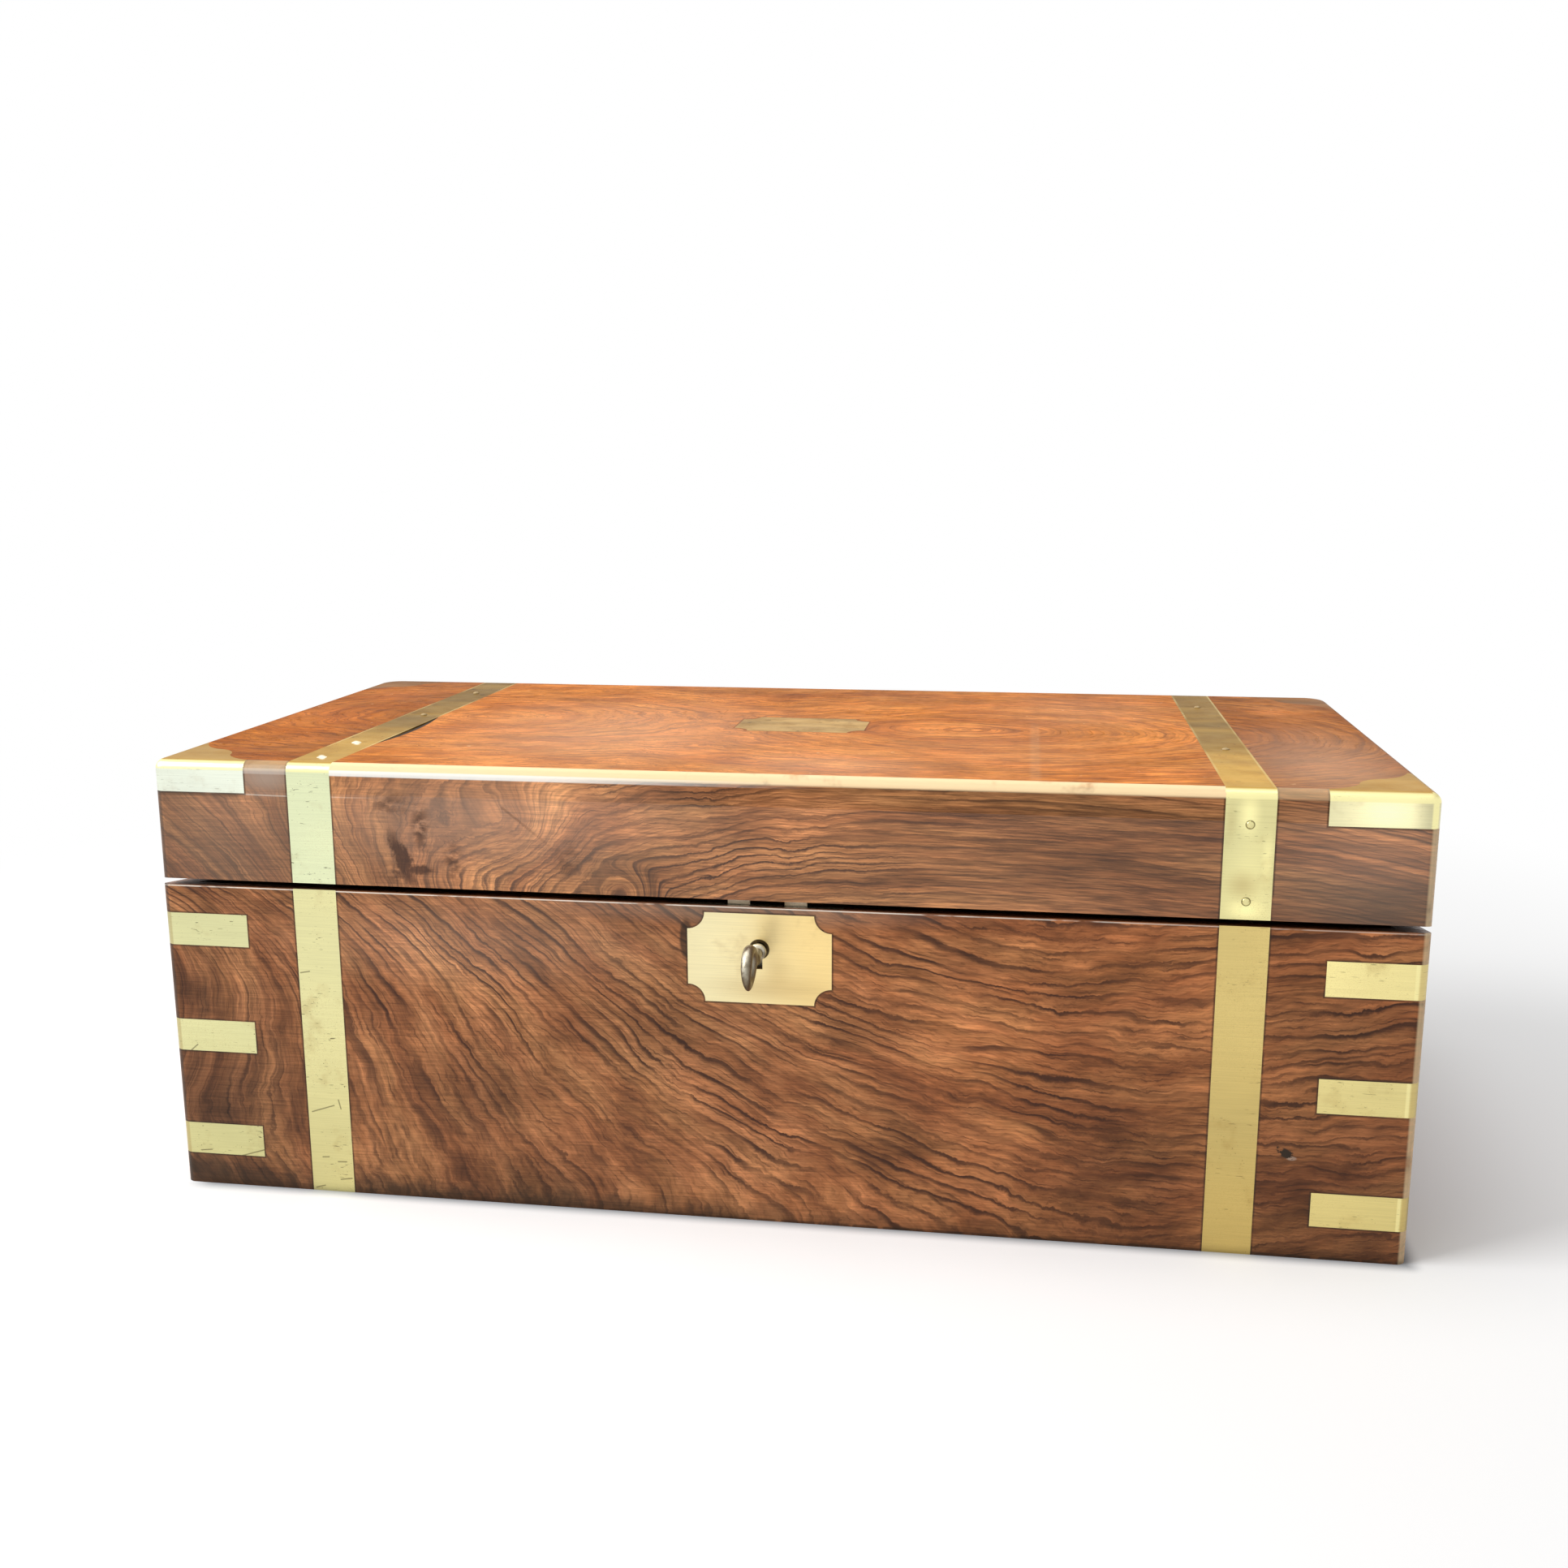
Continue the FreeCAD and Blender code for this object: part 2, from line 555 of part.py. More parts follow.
# key: ring bow, collar, hollow shank and bit
KEY_TIP = f"({LOCK_BACK} - dim.running_gap)"
BOW_Y = f"({FRONT} - dim.bow_standoff)"
bow = doc.addObject("Part::Torus", "key_bow")
bow.setExpression("Radius1", "dim.bow_radius")
bow.setExpression("Radius2", "dim.bow_wire_radius")
put(bow, place("0", BOW_Y, KEY_Z, "0; 1; 0", "90"))
shank = cylinder("key_shank", "dim.key_shank_radius", ("0", f"{BOW_Y} + dim.bow_radius", KEY_Z), "Y",
                 f"{KEY_TIP} - ({BOW_Y} + dim.bow_radius)")
collar = cylinder("key_collar", "dim.key_collar_radius",
                  ("0", f"{FRONT} - dim.key_collar_standoff - dim.key_collar_length", KEY_Z), "Y",
                  "dim.key_collar_length")
bit = box("key_bit", ("-dim.key_bit_thickness / 2", PIN_FRONT, f"{KEY_Z} - dim.key_bit_length"),
          ("dim.key_bit_thickness / 2", KEY_TIP, KEY_Z))
bore = cylinder("key_bore", "dim.drill_pin_radius + dim.pin_clearance",
                ("0", f"{PIN_FRONT} - dim.running_gap", KEY_Z), "Y", f"{KEY_TIP} - {PIN_FRONT} + {OVER}")
key = base_piece(cut("key", fuse("key_blank", bow, shank, collar, bit), bore), "key")


# butt hinges: leaves let into the seam, knuckles in turn on one pin behind the back
hinge_recess = {"base": [], "lid": []}
hinge_screws = {"base": [], "lid": []}
SEAM_SIGN = {"base": -1, "lid": 1}
for side, sx in SIDES:
    start = f"({sx} * {HINGE_X} - dim.hinge_length / 2)"
    pitch = f"(dim.hinge_length / {KNUCKLES})"
    end_of = f"{start} + dim.hinge_length"
    groove = cylinder(f"knuckle_groove_{side}", "dim.knuckle_radius + dim.running_gap",
                      (f"{start} - dim.running_gap", "0", "0"), "X",
                      "dim.hinge_length + 2 * dim.running_gap", SEAM_FRAME)
    pin_bore = cylinder(f"pin_bore_{side}", "dim.hinge_pin_radius + dim.pin_clearance",
                        (f"{start} - {OVER}", "0", "0"), "X", f"dim.hinge_length + 2 * {OVER}", SEAM_FRAME)
    pin = cylinder(f"hinge_pin_{side}", "dim.hinge_pin_radius", (start, "0", "0"), "X",
                   "dim.hinge_length", SEAM_FRAME)
    base_piece(pin, f"hinge_pin_{side}")
    for half, sign in SEAM_SIGN.items():
        face = f"{sign} * {HALF_GAP}"
        root = f"{sign} * ({HALF_GAP} + dim.hinge_leaf_thickness)"
        low_z, high_z = sorted((face, root), key=measure)
        leaf = box(f"{half}_leaf_{side}", (start, "-dim.hinge_leaf_width", low_z),
                   (end_of, "0", high_z), SEAM_FRAME)
        barrels, gaps = [], []
        for number in range(KNUCKLES):
            own = number % 2 == (0 if half == "base" else 1)
            left = f"{start} + {number} * {pitch}"
            if own:
                inset = "0" if half == "base" else "dim.running_gap"
                barrels.append(cylinder(f"{half}_knuckle_{side}_{number}", "dim.knuckle_radius",
                                        (f"{left} + {inset}", "0", "0"), "X",
                                        f"{pitch} - 2 * {inset}", SEAM_FRAME))
            else:
                widen = "0" if half == "base" else "dim.running_gap"
                gaps.append(box(f"{half}_knuckle_gap_{side}_{number}",
                                (f"{left} - {widen}", "-dim.knuckle_radius - dim.running_gap", f"-{OVER}"),
                                (f"{left} + {pitch} + {widen}", OVER, OVER), SEAM_FRAME))
        screws = []
        for number in HINGE_SCREWS:
            spot = place(f"{sx} * {HINGE_X} + {number} * dim.hinge_screw_spread",
                         "-dim.hinge_leaf_width * 0.6", face, angle="0" if half == "base" else "180")
            screws.append(screw(f"{half}_hinge_screw_{side}_{number + 1}", spot, SEAM_FRAME))
        blank = cut(f"{half}_leaf_blank_{side}", leaf, *gaps)
        plain = fuse(f"{half}_leaf_and_knuckles_{side}", blank, *barrels)
        finished = cut(f"drawn_{half}_hinge_leaf_{side}", plain, pin_bore, *screws)
        if half == "base":
            base_piece(finished, f"base_hinge_leaf_{side}")
        else:
            lid_piece(finished, f"lid_hinge_leaf_{side}")
        hinge_recess[half] += [leaf, groove]
        hinge_screws[half] += screws
base_piece(group("base_hinge_screws", hinge_screws["base"]), "base_hinge_screws")
lid_piece(group("closed_lid_hinge_screws", hinge_screws["lid"]), "lid_hinge_screws")


# boards of the base
base_front = common("base_front_blank", base_wood,
                    box("base_front_zone", (f"-{HALF}", FRONT, "0"), (HALF, INNER_FRONT, TOP)))
base_piece(cut("base_front_board", base_front, lock_space, lock_plate, key_passage, *lock_screw_set),
           "base_front_board")
base_back = common("base_back_blank", base_wood,
                   box("base_back_zone", (f"-{HALF}", INNER_BACK, "0"), (HALF, BACK, TOP)))
base_piece(cut("base_back_board", base_back, *hinge_recess["base"], *hinge_screws["base"]), "base_back_board")
for side, sx in SIDES:
    low_x, high_x = sorted((f"{sx} * {INNER_X}", f"{sx} * {HALF}"), key=measure)
    zone = box(f"base_{side}_zone", (low_x, INNER_FRONT, "0"), (high_x, INNER_BACK, TOP))
    base_piece(common(f"base_{side}_side", base_wood, zone), f"base_{side}_side")
base_piece(box("base_bottom_board", (f"-{INNER_X}", INNER_FRONT, "0"),
               (INNER_X, INNER_BACK, "dim.bottom_thickness")), "base_bottom_board")


# writing flaps: panels in the seam with leather let in, held by a spring catch
def flap(name, sign, front_depth):
    """Panel below (-1) or above (+1) the seam from a depth back to the hinge-side wall."""
    front_y = down_slope(front_depth)
    # the end of the panel that leans towards a wall has the wider gap
    back_gap = "dim.flap_gap" if sign < 0 else "dim.flap_end_gap"
    back_y = down_slope(f"dim.case_depth - dim.wall_thickness - {back_gap}")
    half_x = f"({INNER_X} - dim.flap_gap)"

    def layer(label, inset, top, thickness, y_from=front_y, y_to=back_y, reach=half_x):
        faces = sorted((f"{sign} * ({top})", f"{sign} * ({top} + {thickness})"), key=measure)
        return box(label, (f"-({reach} - {inset})", f"{y_from} + {inset}", faces[0]),
                   (f"{reach} - {inset}", f"{y_to} - {inset}", faces[1]), SEAM_FRAME)

    panel = layer(f"{name}_panel", "0", "dim.flap_drop", "dim.flap_thickness")
    leather = layer(f"{name}_leather_sheet", "dim.flap_border", "dim.flap_drop", "dim.leather_thickness")
    catch_plate = layer(f"{name}_catch_plate", "0", "dim.flap_drop", "dim.catch_thickness", front_y,
                        f"{front_y} + dim.catch_depth", "(dim.catch_width / 2)")
    reach = "(dim.flap_end_gap + dim.catch_tongue_reach)"
    tongue = layer(f"{name}_catch_tongue", "0", "dim.flap_drop + 0.2 * dim.catch_thickness",
                   "0.8 * dim.catch_thickness", f"{front_y} - {reach}",
                   f"{front_y} + dim.catch_depth / 2", "(dim.catch_tongue_width / 2)")
    mortise = layer(f"{name}_catch_mortise", "0", "-dim.running_gap",
                    "dim.flap_drop + dim.catch_thickness + 2 * dim.running_gap",
                    f"{front_y} - {reach} - dim.running_gap", front_y,
                    "(dim.catch_tongue_width / 2 + dim.running_gap)")
    catch = fuse(f"{name}_catch_blank", catch_plate, tongue)
    board = cut(f"{name}_board_blank", panel, leather, catch_plate)
    strips = []
    for side, sx in SIDES:
        low_x, high_x = sorted((f"{sx} * {INNER_X}", f"{sx} * ({INNER_X} - dim.rest_strip)"), key=measure)
        under = sorted((f"{sign} * (dim.flap_drop + dim.flap_thickness)",
                        f"{sign} * (dim.flap_drop + dim.flap_thickness + dim.rest_strip)"), key=measure)
        strips.append(box(f"{name}_rest_{side}", (low_x, f"{front_y} + dim.rest_strip_setback", under[0]),
                          (high_x, f"{back_y} - dim.rest_strip_setback", under[1]), SEAM_FRAME))
    return board, leather, catch, mortise, strips


UPPER_FLAP_START = ("dim.wall_thickness + dim.compartment_depth + dim.divider_thickness + dim.flap_end_gap")
LOWER_FLAP_START = "dim.wall_thickness + dim.flap_end_gap"
upper_board, upper_leather, upper_catch, upper_mortise, upper_rests = flap("upper_flap", -1, UPPER_FLAP_START)
lower_board, lower_leather, lower_catch, lower_mortise, lower_rests = flap("lower_flap", 1, LOWER_FLAP_START)
base_piece(upper_board, "upper_flap_board")
base_piece(upper_leather, "upper_flap_leather")
base_piece(upper_catch, "upper_flap_catch")
lid_piece(lower_board, "lower_flap_board")
lid_piece(lower_leather, "lower_flap_leather")
lid_piece(lower_catch, "lower_flap_catch")
lid_piece(group("lower_flap_rests", lower_rests), "lid_rest_strips")


# pen and ink compartment behind the lock
floor_rests = [box(f"floor_rest_{number}", (f"-{INNER_X}", y_from, f"{FLOOR_UNDER} - dim.rest_strip"),
                   (INNER_X, f"{y_from} + dim.rest_strip", FLOOR_UNDER))
               for number, y_from in enumerate((INNER_FRONT, f"{DIVIDER_FRONT} - dim.rest_strip"))]
base_piece(group("base_rest_strips", upper_rests + floor_rests), "base_rest_strips")
base_piece(box("compartment_floor", (f"-{INNER_X}", INNER_FRONT, FLOOR_UNDER),
               (INNER_X, DIVIDER_FRONT, FLOOR_TOP)), "compartment_floor")
divider_zone = box("divider_zone", (f"-{INNER_X}", DIVIDER_FRONT, f"{FLOOR_UNDER} - dim.rest_strip"),
                   (INNER_X, DIVIDER_BACK, TOP))
divider = common("divider_blank", divider_zone, base_half)
base_piece(cut("compartment_divider", divider, upper_mortise), "compartment_divider")
for side, sx in SIDES:
    far_x = f"({INK_DIVIDER_X} + dim.ink_divider_thickness)"
    low_x, high_x = sorted((f"{sx} * {INK_DIVIDER_X}", f"{sx} * {far_x}"), key=measure)
    zone = box(f"inkwell_divider_{side}_zone", (low_x, INNER_FRONT, FLOOR_TOP), (high_x, DIVIDER_FRONT, TOP))
    base_piece(common(f"inkwell_divider_{side}", zone, base_half), f"inkwell_divider_{side}")

TRAY_X = f"({INK_DIVIDER_X} - dim.tray_gap)"
TRAY_TOP = f"({FLOOR_TOP} + dim.tray_height)"
tray_block = box("pen_tray_block", (f"-{TRAY_X}", f"{INNER_FRONT} + dim.tray_gap", FLOOR_TOP),
                 (TRAY_X, f"{DIVIDER_FRONT} - dim.tray_gap", TRAY_TOP))
trough = cylinder("pen_trough", "dim.trough_radius",
                  (f"-({TRAY_X} - dim.tray_end)", INK_Y,
                   f"{TRAY_TOP} + dim.trough_radius - dim.trough_depth"),
                  "X", f"2 * ({TRAY_X} - dim.tray_end)")
base_piece(cut("pen_tray", tray_block, trough), "pen_tray")

INK_TOP = f"({FLOOR_TOP} + dim.inkwell_height)"
NECK_TOP = f"({INK_TOP} + dim.inkwell_neck_height)"
for side, sx in SIDES:
    x = f"({sx} * {INK_X})"
    half_well = "dim.inkwell_width / 2"
    inside = f"({half_well} - dim.inkwell_wall)"
    glass = box(f"inkwell_block_{side}", (f"{x} - {half_well}", f"{INK_Y} - {half_well}", FLOOR_TOP),
                (f"{x} + {half_well}", f"{INK_Y} + {half_well}", INK_TOP))
    neck = cylinder(f"inkwell_neck_{side}", "dim.inkwell_neck_radius", (x, INK_Y, FLOOR_TOP), "Z",
                    f"{NECK_TOP} - {FLOOR_TOP}")
    ink_space = box(f"inkwell_space_{side}",
                    (f"{x} - {inside}", f"{INK_Y} - {inside}", f"{FLOOR_TOP} + dim.inkwell_wall"),
                    (f"{x} + {inside}", f"{INK_Y} + {inside}", f"{INK_TOP} - dim.inkwell_wall"))
    mouth = cylinder(f"inkwell_mouth_{side}", "dim.inkwell_neck_radius - dim.inkwell_wall / 2",
                     (x, INK_Y, f"{FLOOR_TOP} + dim.inkwell_wall"), "Z", f"dim.inkwell_height + {OVER}")
    well = cut(f"inkwell_{side}", fuse(f"inkwell_glass_{side}", glass, neck), ink_space, mouth)
    base_piece(well, f"inkwell_{side}")

    radius, dome = "dim.inkwell_cap_radius", "dim.inkwell_cap_dome"
    rim_top = f"({NECK_TOP} + dim.inkwell_cap_rim)"
    ball_radius = f"(({radius} ^ 2 + {dome} ^ 2) / (2 * {dome}))"
    rim = cylinder(f"inkwell_cap_rim_{side}", radius, (x, INK_Y, NECK_TOP), "Z", "dim.inkwell_cap_rim")
    ball = doc.addObject("Part::Sphere", f"inkwell_cap_ball_{side}")
    ball.setExpression("Radius", ball_radius)
    put(ball, place(x, INK_Y, f"{rim_top} + {dome} - {ball_radius}"))
    above = cylinder(f"inkwell_cap_top_{side}", radius, (x, INK_Y, rim_top), "Z", f"2 * {dome}")
    cap = fuse(f"inkwell_cap_{side}", rim, common(f"inkwell_cap_dome_{side}", ball, above))
    base_piece(cap, f"inkwell_cap_{side}")


# brass of the lid, nailed through the straps
lid_brass = []
nails = []
STRAP_UNDER = f"({TOP} - dim.brass_thickness)"
NAIL_LENGTH = "dim.nail_shank_length + dim.brass_thickness / 2"
for side, sx in SIDES:
    middle_x = f"{sx} * {STRAP_X}"
    for number, depth in enumerate(NAIL_DEPTHS[side]):
        head = cylinder(f"top_nail_head_{side}_{number}", "dim.nail_radius",
                        (middle_x, f"{FRONT} + {depth}", STRAP_UNDER), "Z", "dim.brass_thickness")
        spike = cylinder(f"top_nail_spike_{side}_{number}", "dim.nail_shank_radius",
                         (middle_x, f"{FRONT} + {depth}", f"{STRAP_UNDER} - dim.nail_shank_length"), "Z",
                         NAIL_LENGTH)
        nails.append(fuse(f"top_nail_{side}_{number}", head, spike))
for number, height in enumerate((f"{TOP} - dim.nail_top_margin",
                                 "dim.seam_front_height + dim.nail_seam_margin")):
    head = cylinder(f"front_nail_head_{number}", "dim.nail_radius", (STRAP_X, FRONT, height), "Y",
                    "dim.brass_thickness")
    spike = cylinder(f"front_nail_spike_{number}", "dim.nail_shank_radius",
                     (STRAP_X, f"{FRONT} + dim.brass_thickness / 2", height), "Y", NAIL_LENGTH)
    nails.append(fuse(f"front_nail_{number}", head, spike))
nail_set = group("closed_lid_strap_nails", nails)
lid_piece(nail_set, "lid_strap_nails")
for side, sx in SIDES:
    low_x = f"{sx} * {STRAP_X} - dim.strap_width / 2"
    zone = box(f"lid_strap_{side}_zone", (low_x, f"{FRONT} - {OVER}", "0"),
               (f"{low_x} + dim.strap_width", f"{BACK} + {OVER}", f"{TOP} + {OVER}"))
    strap = common(f"lid_strap_{side}_blank", lid_skin, zone)
    lid_brass.append(strap)
    lid_piece(cut(f"closed_lid_strap_{side}", strap, nail_set), f"lid_strap_{side}")
    for end, sy in ENDS:
        corner_zone = cap_zone(f"cap_zone_{end}_{side}", sx, sy)
        corner = common(f"closed_lid_corner_{end}_{side}", lid_skin, corner_zone)
        lid_brass.append(corner)
        lid_piece(corner, f"lid_corner_{end}_{side}")
plaque = plate("closed_lid_plaque", "XY_Plane",
               scooped_corners("dim.plaque_width / 2", "dim.plaque_depth / 2"),
               "dim.brass_thickness", place(z=STRAP_UNDER))
lid_piece(plaque, "lid_plaque")
lid_wood = cut("lid_wood", lid_block, group("lid_brass_set", lid_brass + [plaque]))

# link plate under the lid's front, with two lugs that the bolt catches
LINK_FRONT_DEPTH = f"{LUG_FRONT} - {FRONT} + dim.lug_thickness / 2 - dim.link_plate_depth / 2"
LINK_LEFT = "(dim.link_centre - dim.link_plate_length / 2)"
LINK_FRONT_Y = down_slope(LINK_FRONT_DEPTH)
link_flat = box("link_flat", (LINK_LEFT, LINK_FRONT_Y, HALF_GAP),
                (f"{LINK_LEFT} + dim.link_plate_length", f"{LINK_FRONT_Y} + dim.link_plate_depth",
                 f"{HALF_GAP} + dim.link_plate_thickness"), SEAM_FRAME)
lugs, notches = [], []
for i, lug in enumerate(LUGS):
    lugs.append(box(f"link_lug_{i}", (lug, LUG_FRONT, LUG_BOTTOM),
                    (f"{lug} + dim.lug_width", LUG_BACK, "dim.seam_front_height")))
    notches.append(box(f"link_notch_{i}", (f"{lug} - {OVER}", f"{LUG_FRONT} - {OVER}", LIP_TOP),
                       (f"{lug} + dim.bolt_travel + dim.running_gap", f"{LUG_BACK} + {OVER}", NOTCH_TOP)))
link_screw_set = [screw(f"link_screw_{side}",
                        place(f"dim.link_centre + {sx} * dim.link_screw_spread",
                              f"{LINK_FRONT_Y} + dim.link_plate_depth / 2", HALF_GAP, angle="180"),
                        SEAM_FRAME)
                  for side, sx in SIDES]
lug_block = cut("lug_block", group("lug_pair", lugs), group("notch_pair", notches))
link_top = box("above_link_plate", (f"-({far})", f"-({far})", f"{HALF_GAP} + dim.link_plate_thickness"),
               (far, far, far), SEAM_FRAME)
link_blank = fuse("link_plate_blank", link_flat, lug_block)
link_plate = cut("closed_link_plate", link_blank, link_top, *link_screw_set)
lid_piece(link_plate, "link_plate")
lid_piece(group("closed_link_plate_screws", link_screw_set), "link_plate_screws")

# boards of the lid, with an old split along the left strap
LID_RIM = f"({TOP} - dim.lid_top_thickness)"
CRACK_X = f"(-{STRAP_X} + dim.strap_width / 2)"
CRACK_Y = f"({FRONT} + dim.crack_start)"
crack = plate("crack", "XY_Plane",
              [(CRACK_X, CRACK_Y),
               (f"{CRACK_X} + dim.crack_width", f"{CRACK_Y} + 0.55 * dim.crack_length",
                CRACK_X, f"{CRACK_Y} + dim.crack_length")],
              f"dim.crack_depth + {OVER}", place(z=f"{TOP} - dim.crack_depth"))
lid_top_zone = box("lid_top_zone", (f"-{HALF}", FRONT, LID_RIM), (HALF, BACK, TOP))
lid_top = common("lid_top_blank", lid_wood, lid_top_zone)
lid_piece(cut("closed_lid_top_board", lid_top, crack, nail_set), "lid_top_board")
lid_front_zone = box("lid_front_zone", (f"-{HALF}", FRONT, "0"), (HALF, INNER_FRONT, LID_RIM))
lid_front = common("lid_front_blank", lid_wood, lid_front_zone)
lid_piece(cut("closed_lid_front_board", lid_front, link_flat, lower_mortise, nail_set, *link_screw_set),
          "lid_front_board")
lid_back_zone = box("lid_back_zone", (f"-{HALF}", INNER_BACK, "0"), (HALF, BACK, LID_RIM))
lid_back = common("lid_back_blank", lid_wood, lid_back_zone)
lid_piece(cut("closed_lid_back_board", lid_back, *hinge_recess["lid"], *hinge_screws["lid"]),
          "lid_back_board")
for side, sx in SIDES:
    low_x, high_x = sorted((f"{sx} * {INNER_X}", f"{sx} * {HALF}"), key=measure)
    zone = box(f"lid_{side}_zone", (low_x, INNER_FRONT, "0"), (high_x, INNER_BACK, LID_RIM))
    lid_piece(common(f"closed_lid_{side}_side", lid_wood, zone), f"lid_{side}_side")

doc.recompute()
for feature in doc.Objects:
    if "Invalid" in feature.State or "Error" in feature.State:
        raise RuntimeError(f"{feature.Name} failed: {feature.State}")
for feature in pieces:
    if feature.Shape.isNull() or not feature.Shape.isValid() or not feature.Shape.Solids:
        raise RuntimeError(f"{feature.Label} has no valid solid")

os.makedirs("parts", exist_ok=True)
for feature in pieces:
    feature.Shape.exportStep(f"parts/{feature.Label}.step")
print(len(pieces), "pieces")
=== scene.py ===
import json
import math

import bmesh
import bpy
import numpy
from bpy.props import FloatProperty, FloatVectorProperty, PointerProperty
from mathutils import Matrix, Vector


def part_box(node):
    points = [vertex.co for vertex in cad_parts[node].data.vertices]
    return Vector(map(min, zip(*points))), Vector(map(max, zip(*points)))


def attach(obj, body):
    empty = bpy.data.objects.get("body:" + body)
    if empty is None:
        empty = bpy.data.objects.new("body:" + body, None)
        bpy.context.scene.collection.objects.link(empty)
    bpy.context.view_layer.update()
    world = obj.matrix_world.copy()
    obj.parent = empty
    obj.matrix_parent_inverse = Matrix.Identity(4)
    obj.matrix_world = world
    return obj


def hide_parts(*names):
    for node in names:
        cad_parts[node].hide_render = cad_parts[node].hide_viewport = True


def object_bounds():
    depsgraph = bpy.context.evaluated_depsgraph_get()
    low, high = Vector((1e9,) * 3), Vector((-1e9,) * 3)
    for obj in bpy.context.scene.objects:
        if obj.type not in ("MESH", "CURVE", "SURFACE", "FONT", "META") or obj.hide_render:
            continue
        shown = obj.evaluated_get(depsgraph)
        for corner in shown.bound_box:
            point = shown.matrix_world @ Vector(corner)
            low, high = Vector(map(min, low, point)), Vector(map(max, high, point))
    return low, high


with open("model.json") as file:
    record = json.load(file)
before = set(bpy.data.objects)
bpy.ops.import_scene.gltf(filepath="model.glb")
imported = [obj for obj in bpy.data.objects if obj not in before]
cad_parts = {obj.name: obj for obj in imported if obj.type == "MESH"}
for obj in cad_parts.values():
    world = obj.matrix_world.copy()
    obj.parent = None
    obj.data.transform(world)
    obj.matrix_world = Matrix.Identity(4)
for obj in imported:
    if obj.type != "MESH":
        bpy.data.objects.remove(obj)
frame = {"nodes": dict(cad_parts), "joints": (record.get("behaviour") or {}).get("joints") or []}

bl_info = {
    "name": "Travel writing desk",
    "version": (1, 0, 0),
    "blender": (4, 5, 0),
    "location": "View3D > Sidebar > Desk",
    "description": "Finishes a brass-bound writing box: figured veneer, old brass, leather and a lit stage",
    "category": "Object",
}

CAD_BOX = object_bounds()
NODES = frame["nodes"]
HINGE = next(joint for joint in frame["joints"] if joint["name"] == "lid_hinge")
MM = 1000.0
ENDS = ("left", "right")

# closed case in millimetres, as the boards and the hinge give it
HALF_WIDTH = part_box("base_front_board")[1].x * MM
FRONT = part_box("base_front_board")[0].y * MM
BACK = -FRONT
AXIS_Y, AXIS_Z = HINGE["pos_m"][1] * MM, HINGE["pos_m"][2] * MM
TOP = 2 * AXIS_Z
SEAM_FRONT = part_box("base_front_board")[1].z * MM
SEAM_SLOPE = (SEAM_FRONT - AXIS_Z) / (AXIS_Y - FRONT)
AJAR = -math.radians(HINGE["range_deg"][0])
STRAP_LEFT, STRAP_RIGHT = (sum(corner.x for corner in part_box(f"lid_strap_{end}")) / 2 * MM for end in ENDS)
STRAP_HALF = (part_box("lid_strap_left")[1].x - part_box("lid_strap_left")[0].x) / 2 * MM
PLATE_LOW, PLATE_HIGH = (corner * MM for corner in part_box("escutcheon"))
# corner radius of the lock plate, then the x and height of its keyhole
PLATE_HOLLOW = 7.0
KEYHOLE = (0.0, 116.9)
KEY_LOW, KEY_HIGH = (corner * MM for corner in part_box("key"))
ANGLE_LOW, ANGLE_HIGH = (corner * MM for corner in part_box("base_corner_straps_front_right"))
# half the width of a corner angle
ANGLE_HALF = 7.0
CAP_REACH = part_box("lid_corner_front_right")[0].x * MM
# lower edge of the corner caps on the front, then half the plaque and its corner radius
CAP_FOOT = 171.8
PLAQUE_HALF = Vector((29.8, 19.45))
PLAQUE_HOLLOW = 6.0

# the way the grain runs on the front, rounded to five degrees from a curve fitted to the picture's grain: at
# each height, degrees from the x axis at places across. A place has its x and how close the lines lie there
BASE_PLACES = tuple((x, 0.8) for x in range(-240, 241, 80))
BASE_GRAIN = {
    120: (-40, -40, -35, -25, -10, 5, 5),
    80: (-95, -65, -40, -25, -10, 5, 10),
    40: (-105, -70, -45, -30, -15, 0, 5),
    10: (-55, -60, -65, -55, -40, -10, 10),
}
LID_PLACES = ((-240, 0.9), (-200, 0.7), (-160, 0.6), (-120, 0.6), (-80, 0.65), (-40, 0.8),
              (0, 1.0), (80, 1.0), (160, 1.0), (240, 1.0))
LID_GRAIN = {
    175: (135, 105, 65, 35, 20, 10, 5, 0, -5, -10),
    160: (140, 120, 90, 55, 30, 15, 5, 0, -5, -10),
    145: (140, 125, 105, 80, 45, 25, 10, 0, -5, -10),
}
# height that each grain is worked out from, and the most powers of x, of height and of both together
BASE_MIDDLE, LID_MIDDLE = 67.0, 160.0
BASE_POWERS, LID_POWERS = (5, 5, 5), (6, 2, 7)
# millimetres in a unit of its formula, and how much closeness counts beside the lean
GRAIN_UNIT = 100.0
CLOSENESS_SHARE = 0.35
# spacing of the dark lines, and how far the run of the grain leans with height
BASE_SPACING, LID_SPACING = 4.5, 3.3
BASE_RUN_LEAN, LID_RUN_LEAN = -0.6, 0.6
# ovals on the case: middle, reach and weight. Knots lift the grain's level; faint ones fade its lines
LID_KNOTS = (
    ((-102, 161), (38, 26), 13), ((-54, 131), (20, 20), 16),
)
LID_FAINT = (
    ((-205, 160), (140, 60), 0.8), ((-104, 163), (38, 24), 0.7), ((150, 152), (140, 60), 0.68),
)
BASE_FAINT = (
    ((-170, 8), (170, 70), 0.6), ((-238, 60), (50, 110), 0.5), ((190, 20), (130, 60), 0.4),
)
TOP_FAINT = (
    ((76, -4), (52, 34), -0.6), ((152, -4), (46, 60), 0.45),
)
